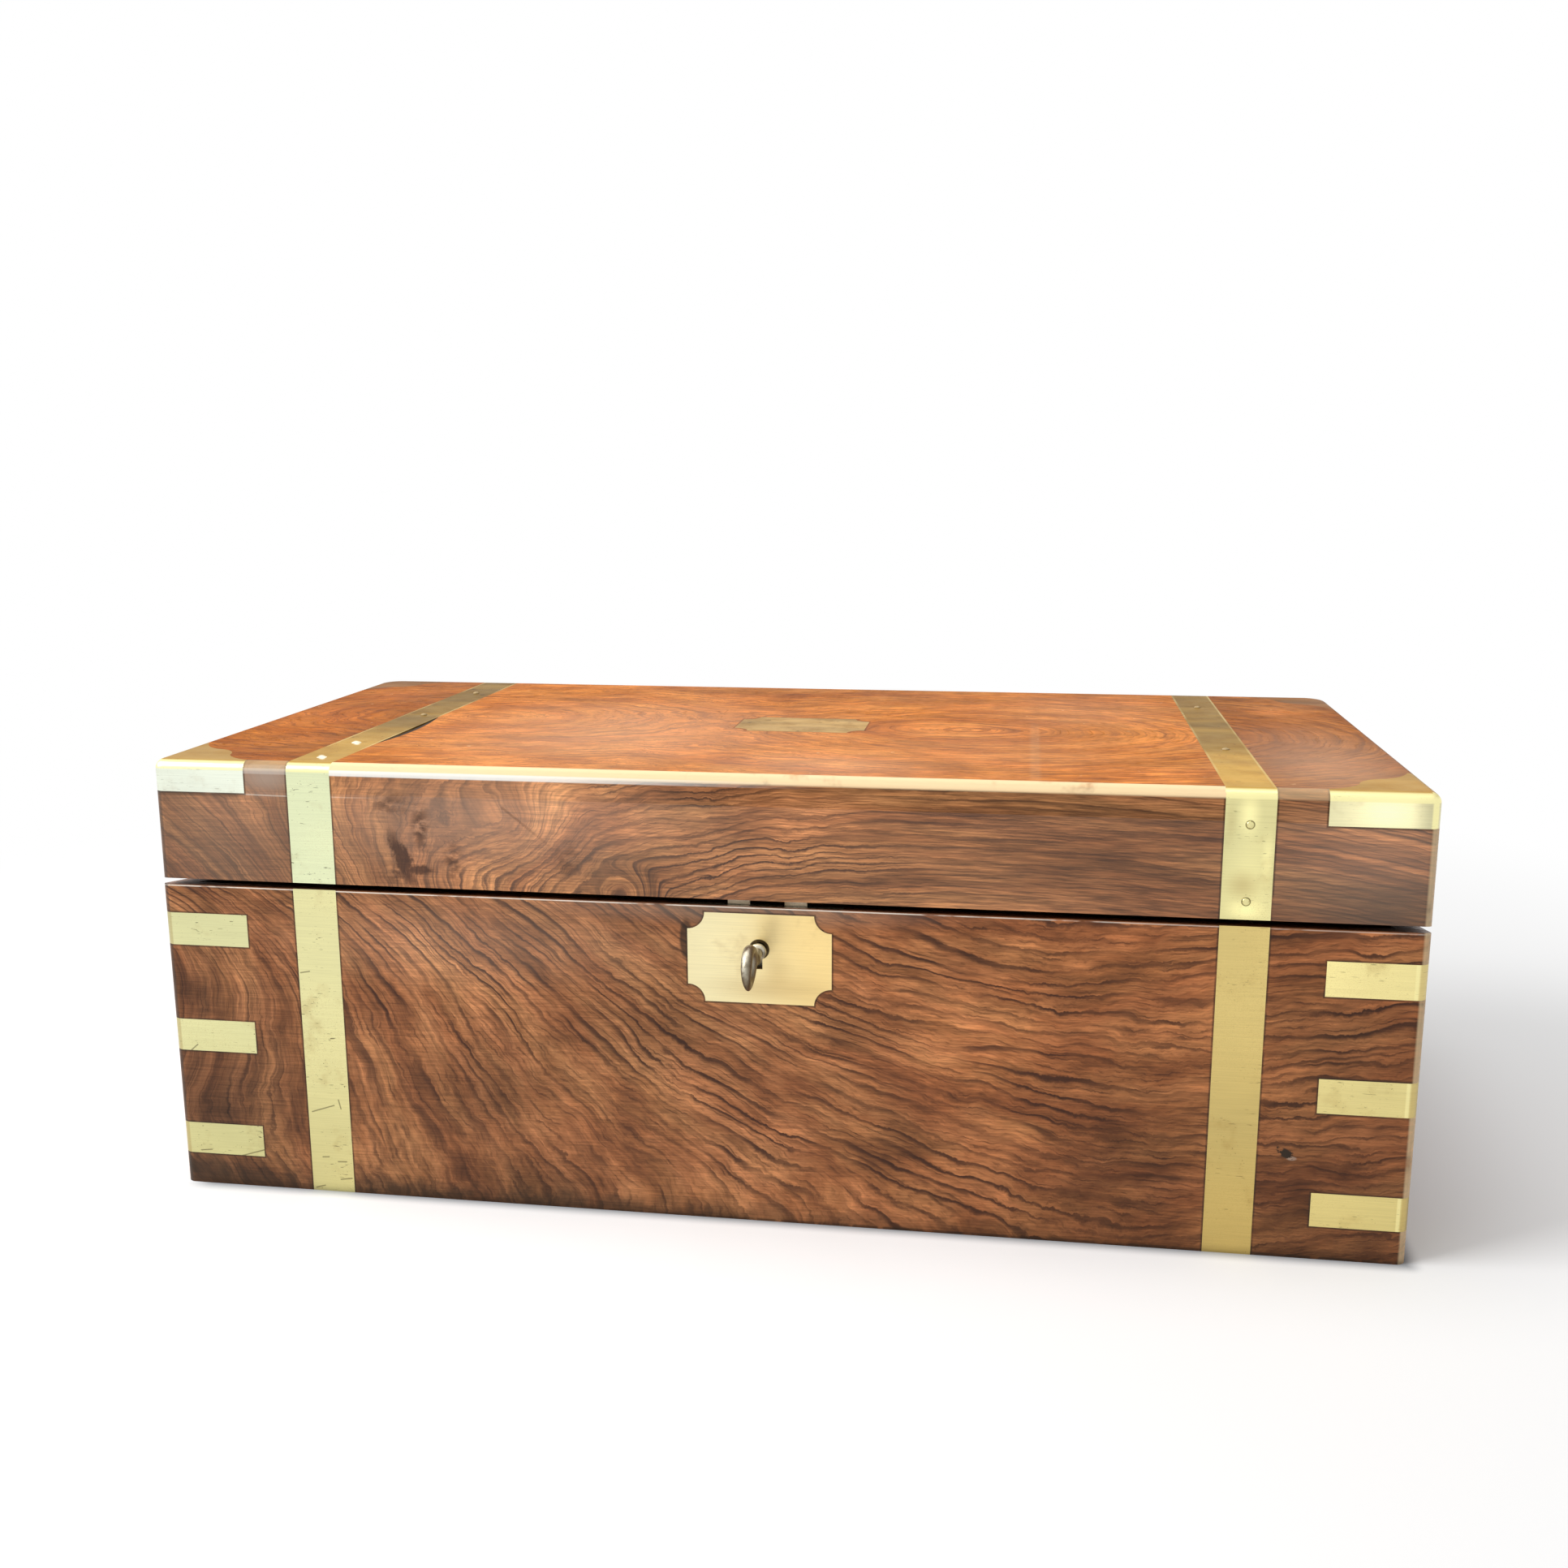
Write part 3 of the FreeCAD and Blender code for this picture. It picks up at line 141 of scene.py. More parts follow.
# lighter and darker places, partly the wood's own colour and partly painted light and shade, then painted
# sheen where the polish reflects light
LID_TONE_AND_SHADING = (
    ((-80, 168), (56, 24), 1.00), ((-172, 168), (24, 22), 0.36), ((24, 168), (42, 24), 0.30),
    ((232, 162), (52, 19), 0.60), ((-112, 148), (36, 24), 0.34), ((238, 138), (60, 26), -0.60),
    ((115, 155), (80, 46), -0.12), ((-200, 146), (85, 26), -0.30), ((-22, 160), (40, 34), -0.16),
    ((-72, 150), (30, 16), -0.20), ((74, 146), (70, 14), -0.18),
)
LID_SMOKE = (
    ((-139, 160), (6, 16), 0.9), ((-152, 169), (14, 8), 0.7), ((-126, 146), (6, 14), 0.8),
    ((-150, 140), (14, 7), 0.7), ((-78, 148), (8, 12), 0.5),
)
BASE_TONE_AND_SHADING = (
    ((-242, 88), (14, 14), -0.40), ((-238, 30), (24, 20), -0.24), ((-135, 112), (80, 26), 0.26),
    ((40, 112), (40, 26), 0.30), ((84, 76), (52, 32), 0.26), ((140, 84), (50, 18), 0.04),
    ((-10, 132), (90, 10), -0.40), ((-236, 46), (56, 66), -0.50), ((140, 50), (70, 70), -0.26),
    ((-110, 4), (110, 34), -0.28), ((226, 40), (60, 60), -0.22), ((222, 92), (46, 34), -0.26),
    ((-115, 48), (44, 32), -0.34), ((-48, 82), (66, 30), -0.18), ((80, 116), (40, 20), -0.14),
    ((143, 40), (36, 30), -0.12), ((30, 12), (50, 26), 0.12), ((-83, 10), (28, 18), -0.26),
    ((57, 42), (30, 22), -0.18), ((104, 32), (28, 34), 0.14), ((-83, 38), (24, 16), 0.14),
)
TOP_TONE_AND_SHADING = (
    ((0, 30), (110, 60), 0.12), ((110, 10), (60, 40), 0.06), ((-20, 240), (150, 60), -0.16),
    ((30, 230), (60, 60), -0.14), ((225, 200), (50, 100), 0.22), ((-225, 120), (50, 70), 0.16),
)
LID_SHEEN = (
    ((-110, 166), (120, 36), 0.34), ((234, 160), (70, 40), 0.26), ((-225, 160), (50, 50), 0.14),
    ((-204, 179), (24, 11), 0.78),
)
BASE_SHEEN = (
    ((-120, 116), (110, 28), 0.20), ((-10, 133), (110, 9), 0.34),
)
TOP_SHEEN = (
    ((-75, 90), (120, 150), 0.30), ((222, 50), (60, 130), 0.30), ((20, 20), (60, 50), 0.22),
    ((70, 60), (120, 110), 0.10), ((130, 180), (60, 80), 0.12),
)
# a burr on the lid with a hook at its foot, and a vein: two ovals, then a line
BURR = ((-147.0, 146.0), (4.0, 13.0))
HOOK = ((-140.0, 142.0), (7.0, 2.2))
VEIN = ((-104.0, 169.0), (-80.0, 150.0))
# a gouge in the base with a bare lip, and dirt beside the lock plate
GOUGE = ((206.6, 43.6), (3.0, 2.2))
GOUGE_LIP = ((208.6, 41.6), (2.2, 1.0))
LOCK_STAIN = ((PLATE_LOW.x - 0.4, 120.0), (3.0, 9.0))
# the joint that has opened beside the left strap on the top, by depth from the front
CRACK_START, CRACK_MIDDLE, CRACK_END = 48.0, 86.0, 125.0
# centres of the two ovals in the figure of the top
TOP_EYES = ((76.0, -4.0), (-150.0, 6.0))
EYES_BLEND = 40.0
# nails through the lid's straps: x, then depth from the front on the top or height on the front
TOP_NAILS = ((STRAP_LEFT, 14.3), (STRAP_LEFT, 49.2), (STRAP_LEFT, 127.9), (STRAP_LEFT, 202.4),
             (STRAP_RIGHT, 83.9), (STRAP_RIGHT, 202.4))
FRONT_NAILS = ((STRAP_RIGHT, 171.4), (STRAP_RIGHT, 141.7))
# radius of a head, its rise, the depth up to which heads are wider with a painted highlight, and how far its
# shine leans
NAIL_HEAD = 1.55
NAIL_DOME = 0.75
HIGHLIT_NAILS = 60.0
NAIL_LEAN = 0.46
NAIL_SHINE = tuple(((x + depth * NAIL_LEAN, depth), (2.2, 6.5), 1.7) for x, depth in TOP_NAILS[:2])
# painted highlights and painted shade: round the nails on the front, on the right cap, the lock plate and the
# link plate
STRAP_GLOW = (((STRAP_RIGHT - 0.5, 175.0), (5.5, 11.0), 0.35), ((STRAP_RIGHT, 138.5), (10.0, 5.0), 0.30),
              ((STRAP_RIGHT + 7.0, 158.0), (3.0, 14.0), 0.22), ((STRAP_RIGHT, 155.0), (12.0, 30.0), 0.14))
STRAP_SHADE = (((STRAP_RIGHT - 1.5, 148.0), (9.0, 8.0), 0.35), ((STRAP_RIGHT - 7.0, 172.0), (3.0, 12.0), 0.16))
CAP_GLOW = (((234.0, 177.0), (22.0, 12.0), 0.40), ((250.0, 178.0), (8.0, 30.0), -0.34))
PLATE_SHADE = (((4.0, 101.0), (34.0, 8.0), 0.30), ((7.0, 109.0), (9.0, 9.0), 0.22))
LINK_SHADE = (((3.6, 137.0), (11.5, 60.0), 1.0),)
# short scratches in the brass on the front: both ends, x and height
SCRATCHES = (
    ((-193.6, 36), (-183.6, 39.4)), ((-181.5, 42), (-180.6, 38)), ((-183.4, 13.7), (-179.6, 13.9)),
    ((-190.2, 15.5), (-187.4, 15.7)), ((-182.6, 5.6), (-177.6, 6.4)), ((-194, 1.2), (-190, 2.4)),
    ((-228.5, 13.2), (-216.5, 17)), ((-246, 15), (-241, 15.6)), ((-237, 58), (-231, 60)),
    ((-246.5, 61), (-243.5, 63.6)), ((-194.5, 98), (-190.5, 98.8)), ((228, 94), (236, 93.2)),
    ((224, 12.4), (226, 12)),
)
# stage, in metres: half the floor, the lamps by name, place, size and watts, and the point that they face
FLOOR_HALF = 30.0
LAMPS = (("Window", (-1.70, -0.75, 1.45), 1.1, 46.0), ("Ceiling", (-0.2, -0.1, 2.2), 1.2, 21.0))
LAMP_AIM = Vector((0.0, 0.0, 0.08))
WHITE = (1.0, 1.0, 1.0, 1.0)
# strength of the white surroundings as light
SKY_LIGHT = 0.3
# camera: turn to the left, tilt down and roll in degrees, then place in metres and sensor in millimetres
CAMERA_ANGLES = (8.770, 11.944, 0.236)
CAMERA_X, CAMERA_HEIGHT = 0.10173, 0.31125
SENSOR_WIDTH = 36.0


class Value:
    """A number in a finish that takes part in Python arithmetic."""

    def __init__(self, finish, socket):
        self.finish = finish
        self.socket = socket

    def _math(self, operation, first, second=0.0, third=0.0):
        return self.finish.node("ShaderNodeMath", {"operation": operation}, {0: first, 1: second, 2: third})

    def __add__(self, other):
        return self._math("ADD", self, other)

    __radd__ = __add__

    def __sub__(self, other):
        return self._math("SUBTRACT", self, other)

    def __rsub__(self, other):
        return self._math("SUBTRACT", other, self)

    def __mul__(self, other):
        return self._math("MULTIPLY", self, other)

    __rmul__ = __mul__

    def __abs__(self):
        return self._math("ABSOLUTE", self)

    def least(self, other):
        return self._math("MINIMUM", self, other)

    def most(self, other):
        return self._math("MAXIMUM", self, other)

    def whole(self):
        return self._math("FLOOR", self)

    def part(self):
        return self._math("FRACT", self)

    def root(self):
        return self._math("SQRT", self)

    def times_plus(self, factor, extra):
        return self._math("MULTIPLY_ADD", self, factor, extra)

    def rise(self, low, high):
        """0 below low, 1 above high, with a soft step between; the other way round if low is the larger."""
        return self.finish.node("ShaderNodeMapRange", {"interpolation_type": "SMOOTHSTEP"},
                                {"Value": self, "From Min": low, "From Max": high})

    def within(self, low, high, soft):
        """1 between low and high, 0 outside, with soft ends."""
        return self.rise(low - soft, low) * self.rise(high + soft, high)


class Finish:
    """The nodes of a material or of the world."""

    def __init__(self, owner):
        self.owner = owner
        owner.use_nodes = True
        self.tree = owner.node_tree
        self.tree.nodes.clear()

    def node(self, kind, settings=None, sockets=None, output=0):
        """Add a node, set it up, then give its sockets values or links. Returns one of its outputs."""
        made = self.tree.nodes.new(kind)
        for key, setting in (settings or {}).items():
            setattr(made, key, setting)
        for key, given in (sockets or {}).items():
            if isinstance(given, Value):
                self.tree.links.new(given.socket, made.inputs[key])
            else:
                made.inputs[key].default_value = given
        return Value(self, made.outputs[output]) if made.outputs else None

    def place(self, body="base"):
        """x, y and z in millimetres, with the lid shut."""
        point = self.node("ShaderNodeTexCoord", output="Object")
        if body == "lid":
            axis = Vector((0.0, AXIS_Y, AXIS_Z)) / MM
            turn = Matrix.Rotation(AJAR, 3, "X")
            point = self.node("ShaderNodeMapping", {"vector_type": "POINT"},
                              {"Vector": point, "Location": axis - turn @ axis, "Rotation": (AJAR, 0.0, 0.0)})
        point = self.node("ShaderNodeVectorMath", {"operation": "SCALE"}, {0: point, "Scale": MM})
        return [self.node("ShaderNodeSeparateXYZ", sockets={0: point}, output=axis) for axis in "XYZ"]

    def noise(self, x, y, z, detail=2.0, roughness=0.5):
        point = self.node("ShaderNodeCombineXYZ", sockets={0: x, 1: y, 2: z})
        return self.node("ShaderNodeTexNoise", {"noise_dimensions": "3D"},
                         {"Vector": point, "Scale": 1.0, "Detail": detail, "Roughness": roughness})

    def cloud(self, place, step, detail=2.0, roughness=0.5):
        """Noise that is as fine in every direction."""
        return self.noise(*(axis * step for axis in place), detail, roughness)

    def blend(self, first, second, factor):
        """A colour between two others."""
        colours = [c if isinstance(c, Value) else (*c[:3], 1.0) for c in (first, second)]
        return self.node("ShaderNodeMix", {"data_type": "RGBA"},
                         {0: factor, 6: colours[0], 7: colours[1]}, output=2)

    def shade(self, colour, factor):
        """A colour made lighter or darker."""
        return self.node("ShaderNodeVectorMath", {"operation": "SCALE"}, {0: colour, "Scale": factor})

    def tint(self, colour, cast):
        """A colour seen through another."""
        return self.node("ShaderNodeVectorMath", {"operation": "MULTIPLY"}, {0: colour, 1: cast})

    def choose(self, first, second, factor):
        """A number between two others."""
        return self.node("ShaderNodeMix", {"data_type": "FLOAT"}, {0: factor, 2: first, 3: second})

    def bump(self, height, distance, strength=1.0):
        return self.node("ShaderNodeBump",
                         sockets={"Height": height, "Distance": distance, "Strength": strength})

    def surface(self, **sockets):
        """Close the material with a Principled shader."""
        names = {key.replace("_", " "): given for key, given in sockets.items()}
        shader = self.node("ShaderNodeBsdfPrincipled", sockets=names)
        self.node("ShaderNodeOutputMaterial", sockets={"Surface": shader})
        return self.owner


def new_finish(name):
    return Finish(bpy.data.materials.new(name))


def cover(node, material):
    """Give a CAD node one finish."""
    for slot in NODES[node].material_slots:
        slot.material = material


def grain_levels(places, grain, middle, most_powers):
    """Rows of a polynomial in x and height, in grain units, whose level lines run as the grain does."""
    most_x, most_height, most = most_powers
    powers = [(i, j) for i in range(most_x + 1) for j in range(most_height + 1) if 0 < i + j <= most]
    slopes, wanted = [], []
    for height, leans in grain.items():
        for (x, close), lean in zip(places, leans):
            across, up = x * (1 / GRAIN_UNIT), (height - middle) * (1 / GRAIN_UNIT)
            run, rise = math.cos(math.radians(lean)), math.sin(math.radians(lean))
            by_x = numpy.array([i * across ** max(i - 1, 0) * up ** j for i, j in powers])
            by_height = numpy.array([j * across ** i * up ** max(j - 1, 0) for i, j in powers])
            slopes += [by_x * run + by_height * rise, (by_height * run - by_x * rise) * CLOSENESS_SHARE]
            wanted += [0.0, close * CLOSENESS_SHARE]
    rows = [[0.0] * (most_height + 1) for _ in range(most_x + 1)]
    solved = numpy.linalg.lstsq(numpy.array(slopes), numpy.array(wanted), rcond=None)[0]
    for (i, j), number in zip(powers, solved):
        rows[i][j] = float(number)
    return rows


def level(rows, x, height):
    """A polynomial in x and height."""
    total = None
    for row in reversed(rows):
        inner = None
        for number in reversed(row):
            inner = number if inner is None else height.times_plus(inner, number)
        total = inner if total is None else x.times_plus(total, inner)
    return total


def gap(x, y, middle, reach):
    """Distance out from an oval, as a share of its size."""
    across, up = (x - middle[0]) * (1 / reach[0]), (y - middle[1]) * (1 / reach[1])
    return (across * across + up * up).root()


def pools(x, up, spots):
    """Sum of soft ovals, each given by its middle, its reach and its weight."""
    total = 0.0
    for middle, reach, weight in spots:
        total = gap(x, up, middle, reach).rise(1.0, 0.0) * weight + total
    return total


def beside(x, up, first, last):
    """Millimetres from the line between two points."""
    run = Vector(last) - Vector(first)
    step = run / run.length_squared
    share = ((x - first[0]) * step.x + (up - first[1]) * step.y).most(0.0).least(1.0)
    return gap(x - share * run.x, up - share * run.y, first, (1.0, 1.0))


def nearest_nail(x, up, nails):
    """Millimetres to the nearest of some nails."""
    near = None
    for nail in nails:
        away = gap(x, up, nail, (1.0, 1.0))
        near = away if near is None else near.least(away)
    return near


class DeskColours(bpy.types.PropertyGroup):
    """Colours of the desk's finishes"""

    def colour(label, words, value):
        return FloatVectorProperty(name=label, description=words, subtype="COLOR", size=3, min=0.0, max=1.0,
                                   default=value)

    top_light: colour("Top, light", "Light wood of the lid's top", (0.700, 0.245, 0.046))
    top_middle: colour("Top, middle", "Main wood of the lid's top", (0.510, 0.155, 0.016))
    top_dark: colour("Top, dark", "Dark lines of the lid's top", (0.150, 0.038, 0.008))
    side_light: colour("Sides, light", "Light wood of the upright faces", (0.520, 0.222, 0.084))
    side_middle: colour("Sides, middle", "Main wood of the upright faces", (0.300, 0.114, 0.039))
    side_dark: colour("Sides, dark", "Dark lines of the upright faces", (0.046, 0.016, 0.008))
    inside_light: colour("Inside, light", "Light wood of the fittings", (0.330, 0.145, 0.062))
    inside_dark: colour("Inside, dark", "Dark wood of the fittings", (0.170, 0.066, 0.028))
    worn_edge_and_highlight: colour("Worn edge and highlight", "Bare wood and painted highlight along the top's rounded front edge", (0.960, 0.720, 0.420))
    glint: colour("Glint", "Gloss under the rubbed front edge of the top", (1.000, 1.000, 0.940))
    brass_shaded: colour("Brass, other sides", "Brass of the ends, back and fittings", (0.540, 0.400, 0.150))
    lid_brass_left: colour("Lid brass, left", "Rubbed brass, left of the lid", (0.780, 0.830, 0.530))
    lid_brass_right: colour("Lid brass, right", "Rubbed brass, right of the lid", (0.800, 0.730, 0.350))
    base_brass_left: colour("Base brass, left", "Rubbed brass, left of the base", (0.710, 0.660, 0.340))
    base_brass_right: colour("Base brass, right", "Rubbed brass, right of the base", (0.630, 0.480, 0.180))
    # the left caps' colour holds a painted highlight
    cap_brass_left_highlit: colour("Cap brass, left", "Corner caps at the left of the lid", (0.900, 0.950, 0.800))
    cap_brass_right: colour("Cap brass, right", "Corner caps at the right of the lid", (0.880, 0.820, 0.490))
    strap_brown: colour("Strap, on the top", "Brown brass of the straps on the top", (0.400, 0.235, 0.047))
    cap_brown: colour("Cap, on the top", "Brown brass of the caps on the top", (0.330, 0.195, 0.052))
    nail_highlight: colour("Nail", "Painted highlight on the front nail heads", (1.000, 0.930, 0.700))
    plaque_brass: colour("Plaque brass", "Blank plate on the top", (0.700, 0.440, 0.168))
    corner_brass_left: colour("Corner brass, left", "Angles round the left corners", (0.680, 0.650, 0.345))
    corner_brass_right: colour("Corner brass, right", "Angles round the right corners", (0.800, 0.680, 0.300))
    plate_brass_left: colour("Lock plate, left", "Left half of the lock plate", (0.850, 0.740, 0.430))
    plate_brass_right: colour("Lock plate, right", "Right half of the lock plate", (0.840, 0.620, 0.270))
    brass_dull: colour("Brass, dull", "Brass that has gone brown", (0.300, 0.150, 0.030))
    # painted sheen of reflected light on the front faces
    painted_sheen: colour("Haze", "Painted sheen on the old polish", (0.420, 0.310, 0.240))
    top_painted_sheen: colour("Haze on the top", "Sheen of old polish on the top", (0.780, 0.520, 0.360))
    bare_edge: colour("Bare edge", "Bare wood along the base's rim", (0.940, 0.860, 0.740))
    link_metal: colour("Link metal", "Link plate over the lock", (0.860, 0.760, 0.600))
    brass_highlight: colour("Brass, bright", "Painted highlight on the brass's rounded edges", (1.000, 0.920, 0.450))
    brass_rim_highlight: colour("Brass rim", "Bright edges of the brass on the top", (0.720, 0.560, 0.240))
    # dirt, and painted shade under the caps, along the bottom edge and round the keyhole
    grime_and_shade: colour("Grime", "Dirt in corners and along inlays, and painted shade", (0.030, 0.018, 0.010))
    steel: colour("Steel", "Worn steel of the key and lock", (0.520, 0.480, 0.380))
    rust: colour("Rust", "Rust and grease on the steel", (0.120, 0.085, 0.045))
    leather: colour("Leather", "Skiver of the writing flaps", (0.034, 0.075, 0.040))
    leather_worn: colour("Leather, worn", "Skiver rubbed through by use", (0.085, 0.090, 0.045))
    tooling: colour("Tooling", "Gilt lines on the leather", (0.620, 0.430, 0.140))
    glass: colour("Glass", "Clear glass of the inkwells", (0.860, 0.930, 0.900))
    dried_ink: colour("Dried ink", "Ink dried on the inkwells", (0.100, 0.120, 0.220))
    floor: colour("Floor", "Studio floor", (0.900, 0.900, 0.900))
    # painted contact shadow on the floor
    floor_shadow: colour("Floor, at the case", "Floor where the case stands on it", (0.300, 0.310, 0.330))


class DeskSizes(bpy.types.PropertyGroup):
    """Sizes of the desk's finishes and of its stage"""

    grime_width: FloatProperty(
        name="Grime", description="Width of the dirt and shade line along an inlay, in millimetres",
        default=0.45, min=0.0, max=3.0)
    tooling_inset: FloatProperty(
        name="Tooling", description="Gilt line in from the leather's edge, in millimetres",
        default=7.0, min=0.0, max=40.0)
    lens: FloatProperty(name="Lens", description="Focal length of the camera", default=36.33, unit="CAMERA")
    camera_distance: FloatProperty(
        name="Camera distance", description="Camera to the front face", default=0.59277, unit="LENGTH")


def rings(finish, figure, along, seed, spacing, run, keep):
    """Dark lines that follow the levels of the figure: each fades in on one side, ends sharply on the other
    and comes and goes along its run."""
    phase = figure * (1 / spacing)
    turn = phase.part()
    shown = finish.noise(phase.whole() * 3.71, along * (1 / run), seed, 2.0).rise(*keep)
    width = finish.noise(phase.whole() * 1.37, along * (1 / (run * 1.5)), seed + 3, 1.0)
    core = turn.rise(0.82 - width * 0.46, 0.92 - width * 0.14)
    return (turn.rise(0.20, 0.95) * 0.18 + core * 0.82) * turn.rise(1.0, 0.93) * shown


def timber(finish, figure, along, seed, light, middle, dark, strength=1.0, spacing=LID_SPACING, keen=1.0,
           soft=0.0):
    """Colour, dark lines and pores of a figured veneer from the level and the run of its grain. Where it
    isn't keen, the lines are faint, and where it is soft, the streaks are."""
    broad = finish.noise(figure * (1 / 14), along * (1 / 48), seed, 4.0, 0.6)
    crowd = (finish.noise(figure * (1 / 22), along * (1 / 130), seed + 5, 1.0) - 0.5) * 18.0
    calm = finish.noise(figure * (1 / 26), along * (1 / 50), seed + 40, 1.0).rise(0.30, 0.62)
    lines = rings(finish, figure + crowd, along, seed + 9, spacing, 50.0, (0.30, 0.54))
    lines = lines * calm.times_plus(0.62, 0.38) * keen
    thin = rings(finish, figure - crowd * 0.4, along, seed + 14, spacing * 0.43, 20.0, (0.40, 0.66))
    pores = finish.noise(figure * 1.7, along * (1 / 5), seed + 30, 2.0).rise(0.54, 0.72)
    streak = finish.noise(figure * 0.6, along * (1 / 24), seed + 50, 3.0, 0.7)
    cast = finish.noise(figure * (1 / 12), along * (1 / 60), seed + 60, 2.0).rise(0.34, 0.66)
    colour = finish.blend(middle, light, broad.rise(0.38, 0.68))
    colour = finish.blend(colour, dark, broad.rise(0.47, 0.24) * (0.55 * strength))
    colour = finish.tint(colour, finish.blend((0.975, 1.015, 0.99), (1.035, 0.985, 0.985), cast))
    colour = finish.shade(colour, (streak - 0.5) * ((1.0 - soft) * (1.9 * strength)) + 1.0)
    colour = finish.blend(colour, dark, lines.most(thin * 0.66) * (0.94 * strength))
    colour = finish.blend(colour, dark, pores * (0.34 * strength))
    return colour, lines, pores


def wander(finish, place, slow, quick):
    """Millimetres by which the grain strays: long bends, and ripples that come and go."""
    wide = finish.cloud(place, 1 / 26)
    close = finish.cloud(place, 1 / 5, 3.5, 0.65)
    ripple = (close - 0.5) * wide.rise(0.38, 0.62).times_plus(2.2 * quick, 1.1 * quick)
    return (wide - 0.5) * (2 * slow) + ripple


def angle_edge(x, z):
    """Millimetres out from the brass angles on the front corners."""
    pitch = (ANGLE_HIGH.z - ANGLE_LOW.z - 2 * ANGLE_HALF) / 2
    out = None
    for step in range(3):
        out_z = abs(z - (ANGLE_LOW.z + ANGLE_HALF + step * pitch)) - ANGLE_HALF
        out = out_z if out is None else out.least(out_z)
    return (ANGLE_LOW.x - abs(x)).most(out)


def hollowed_edge(across, up, half_x, half_y, hollow):
    """Millimetres out from a plate with hollowed corners."""
    across, up = abs(across) - half_x, abs(up) - half_y
    return across.most(up).most(hollow - (across * across + up * up).root())


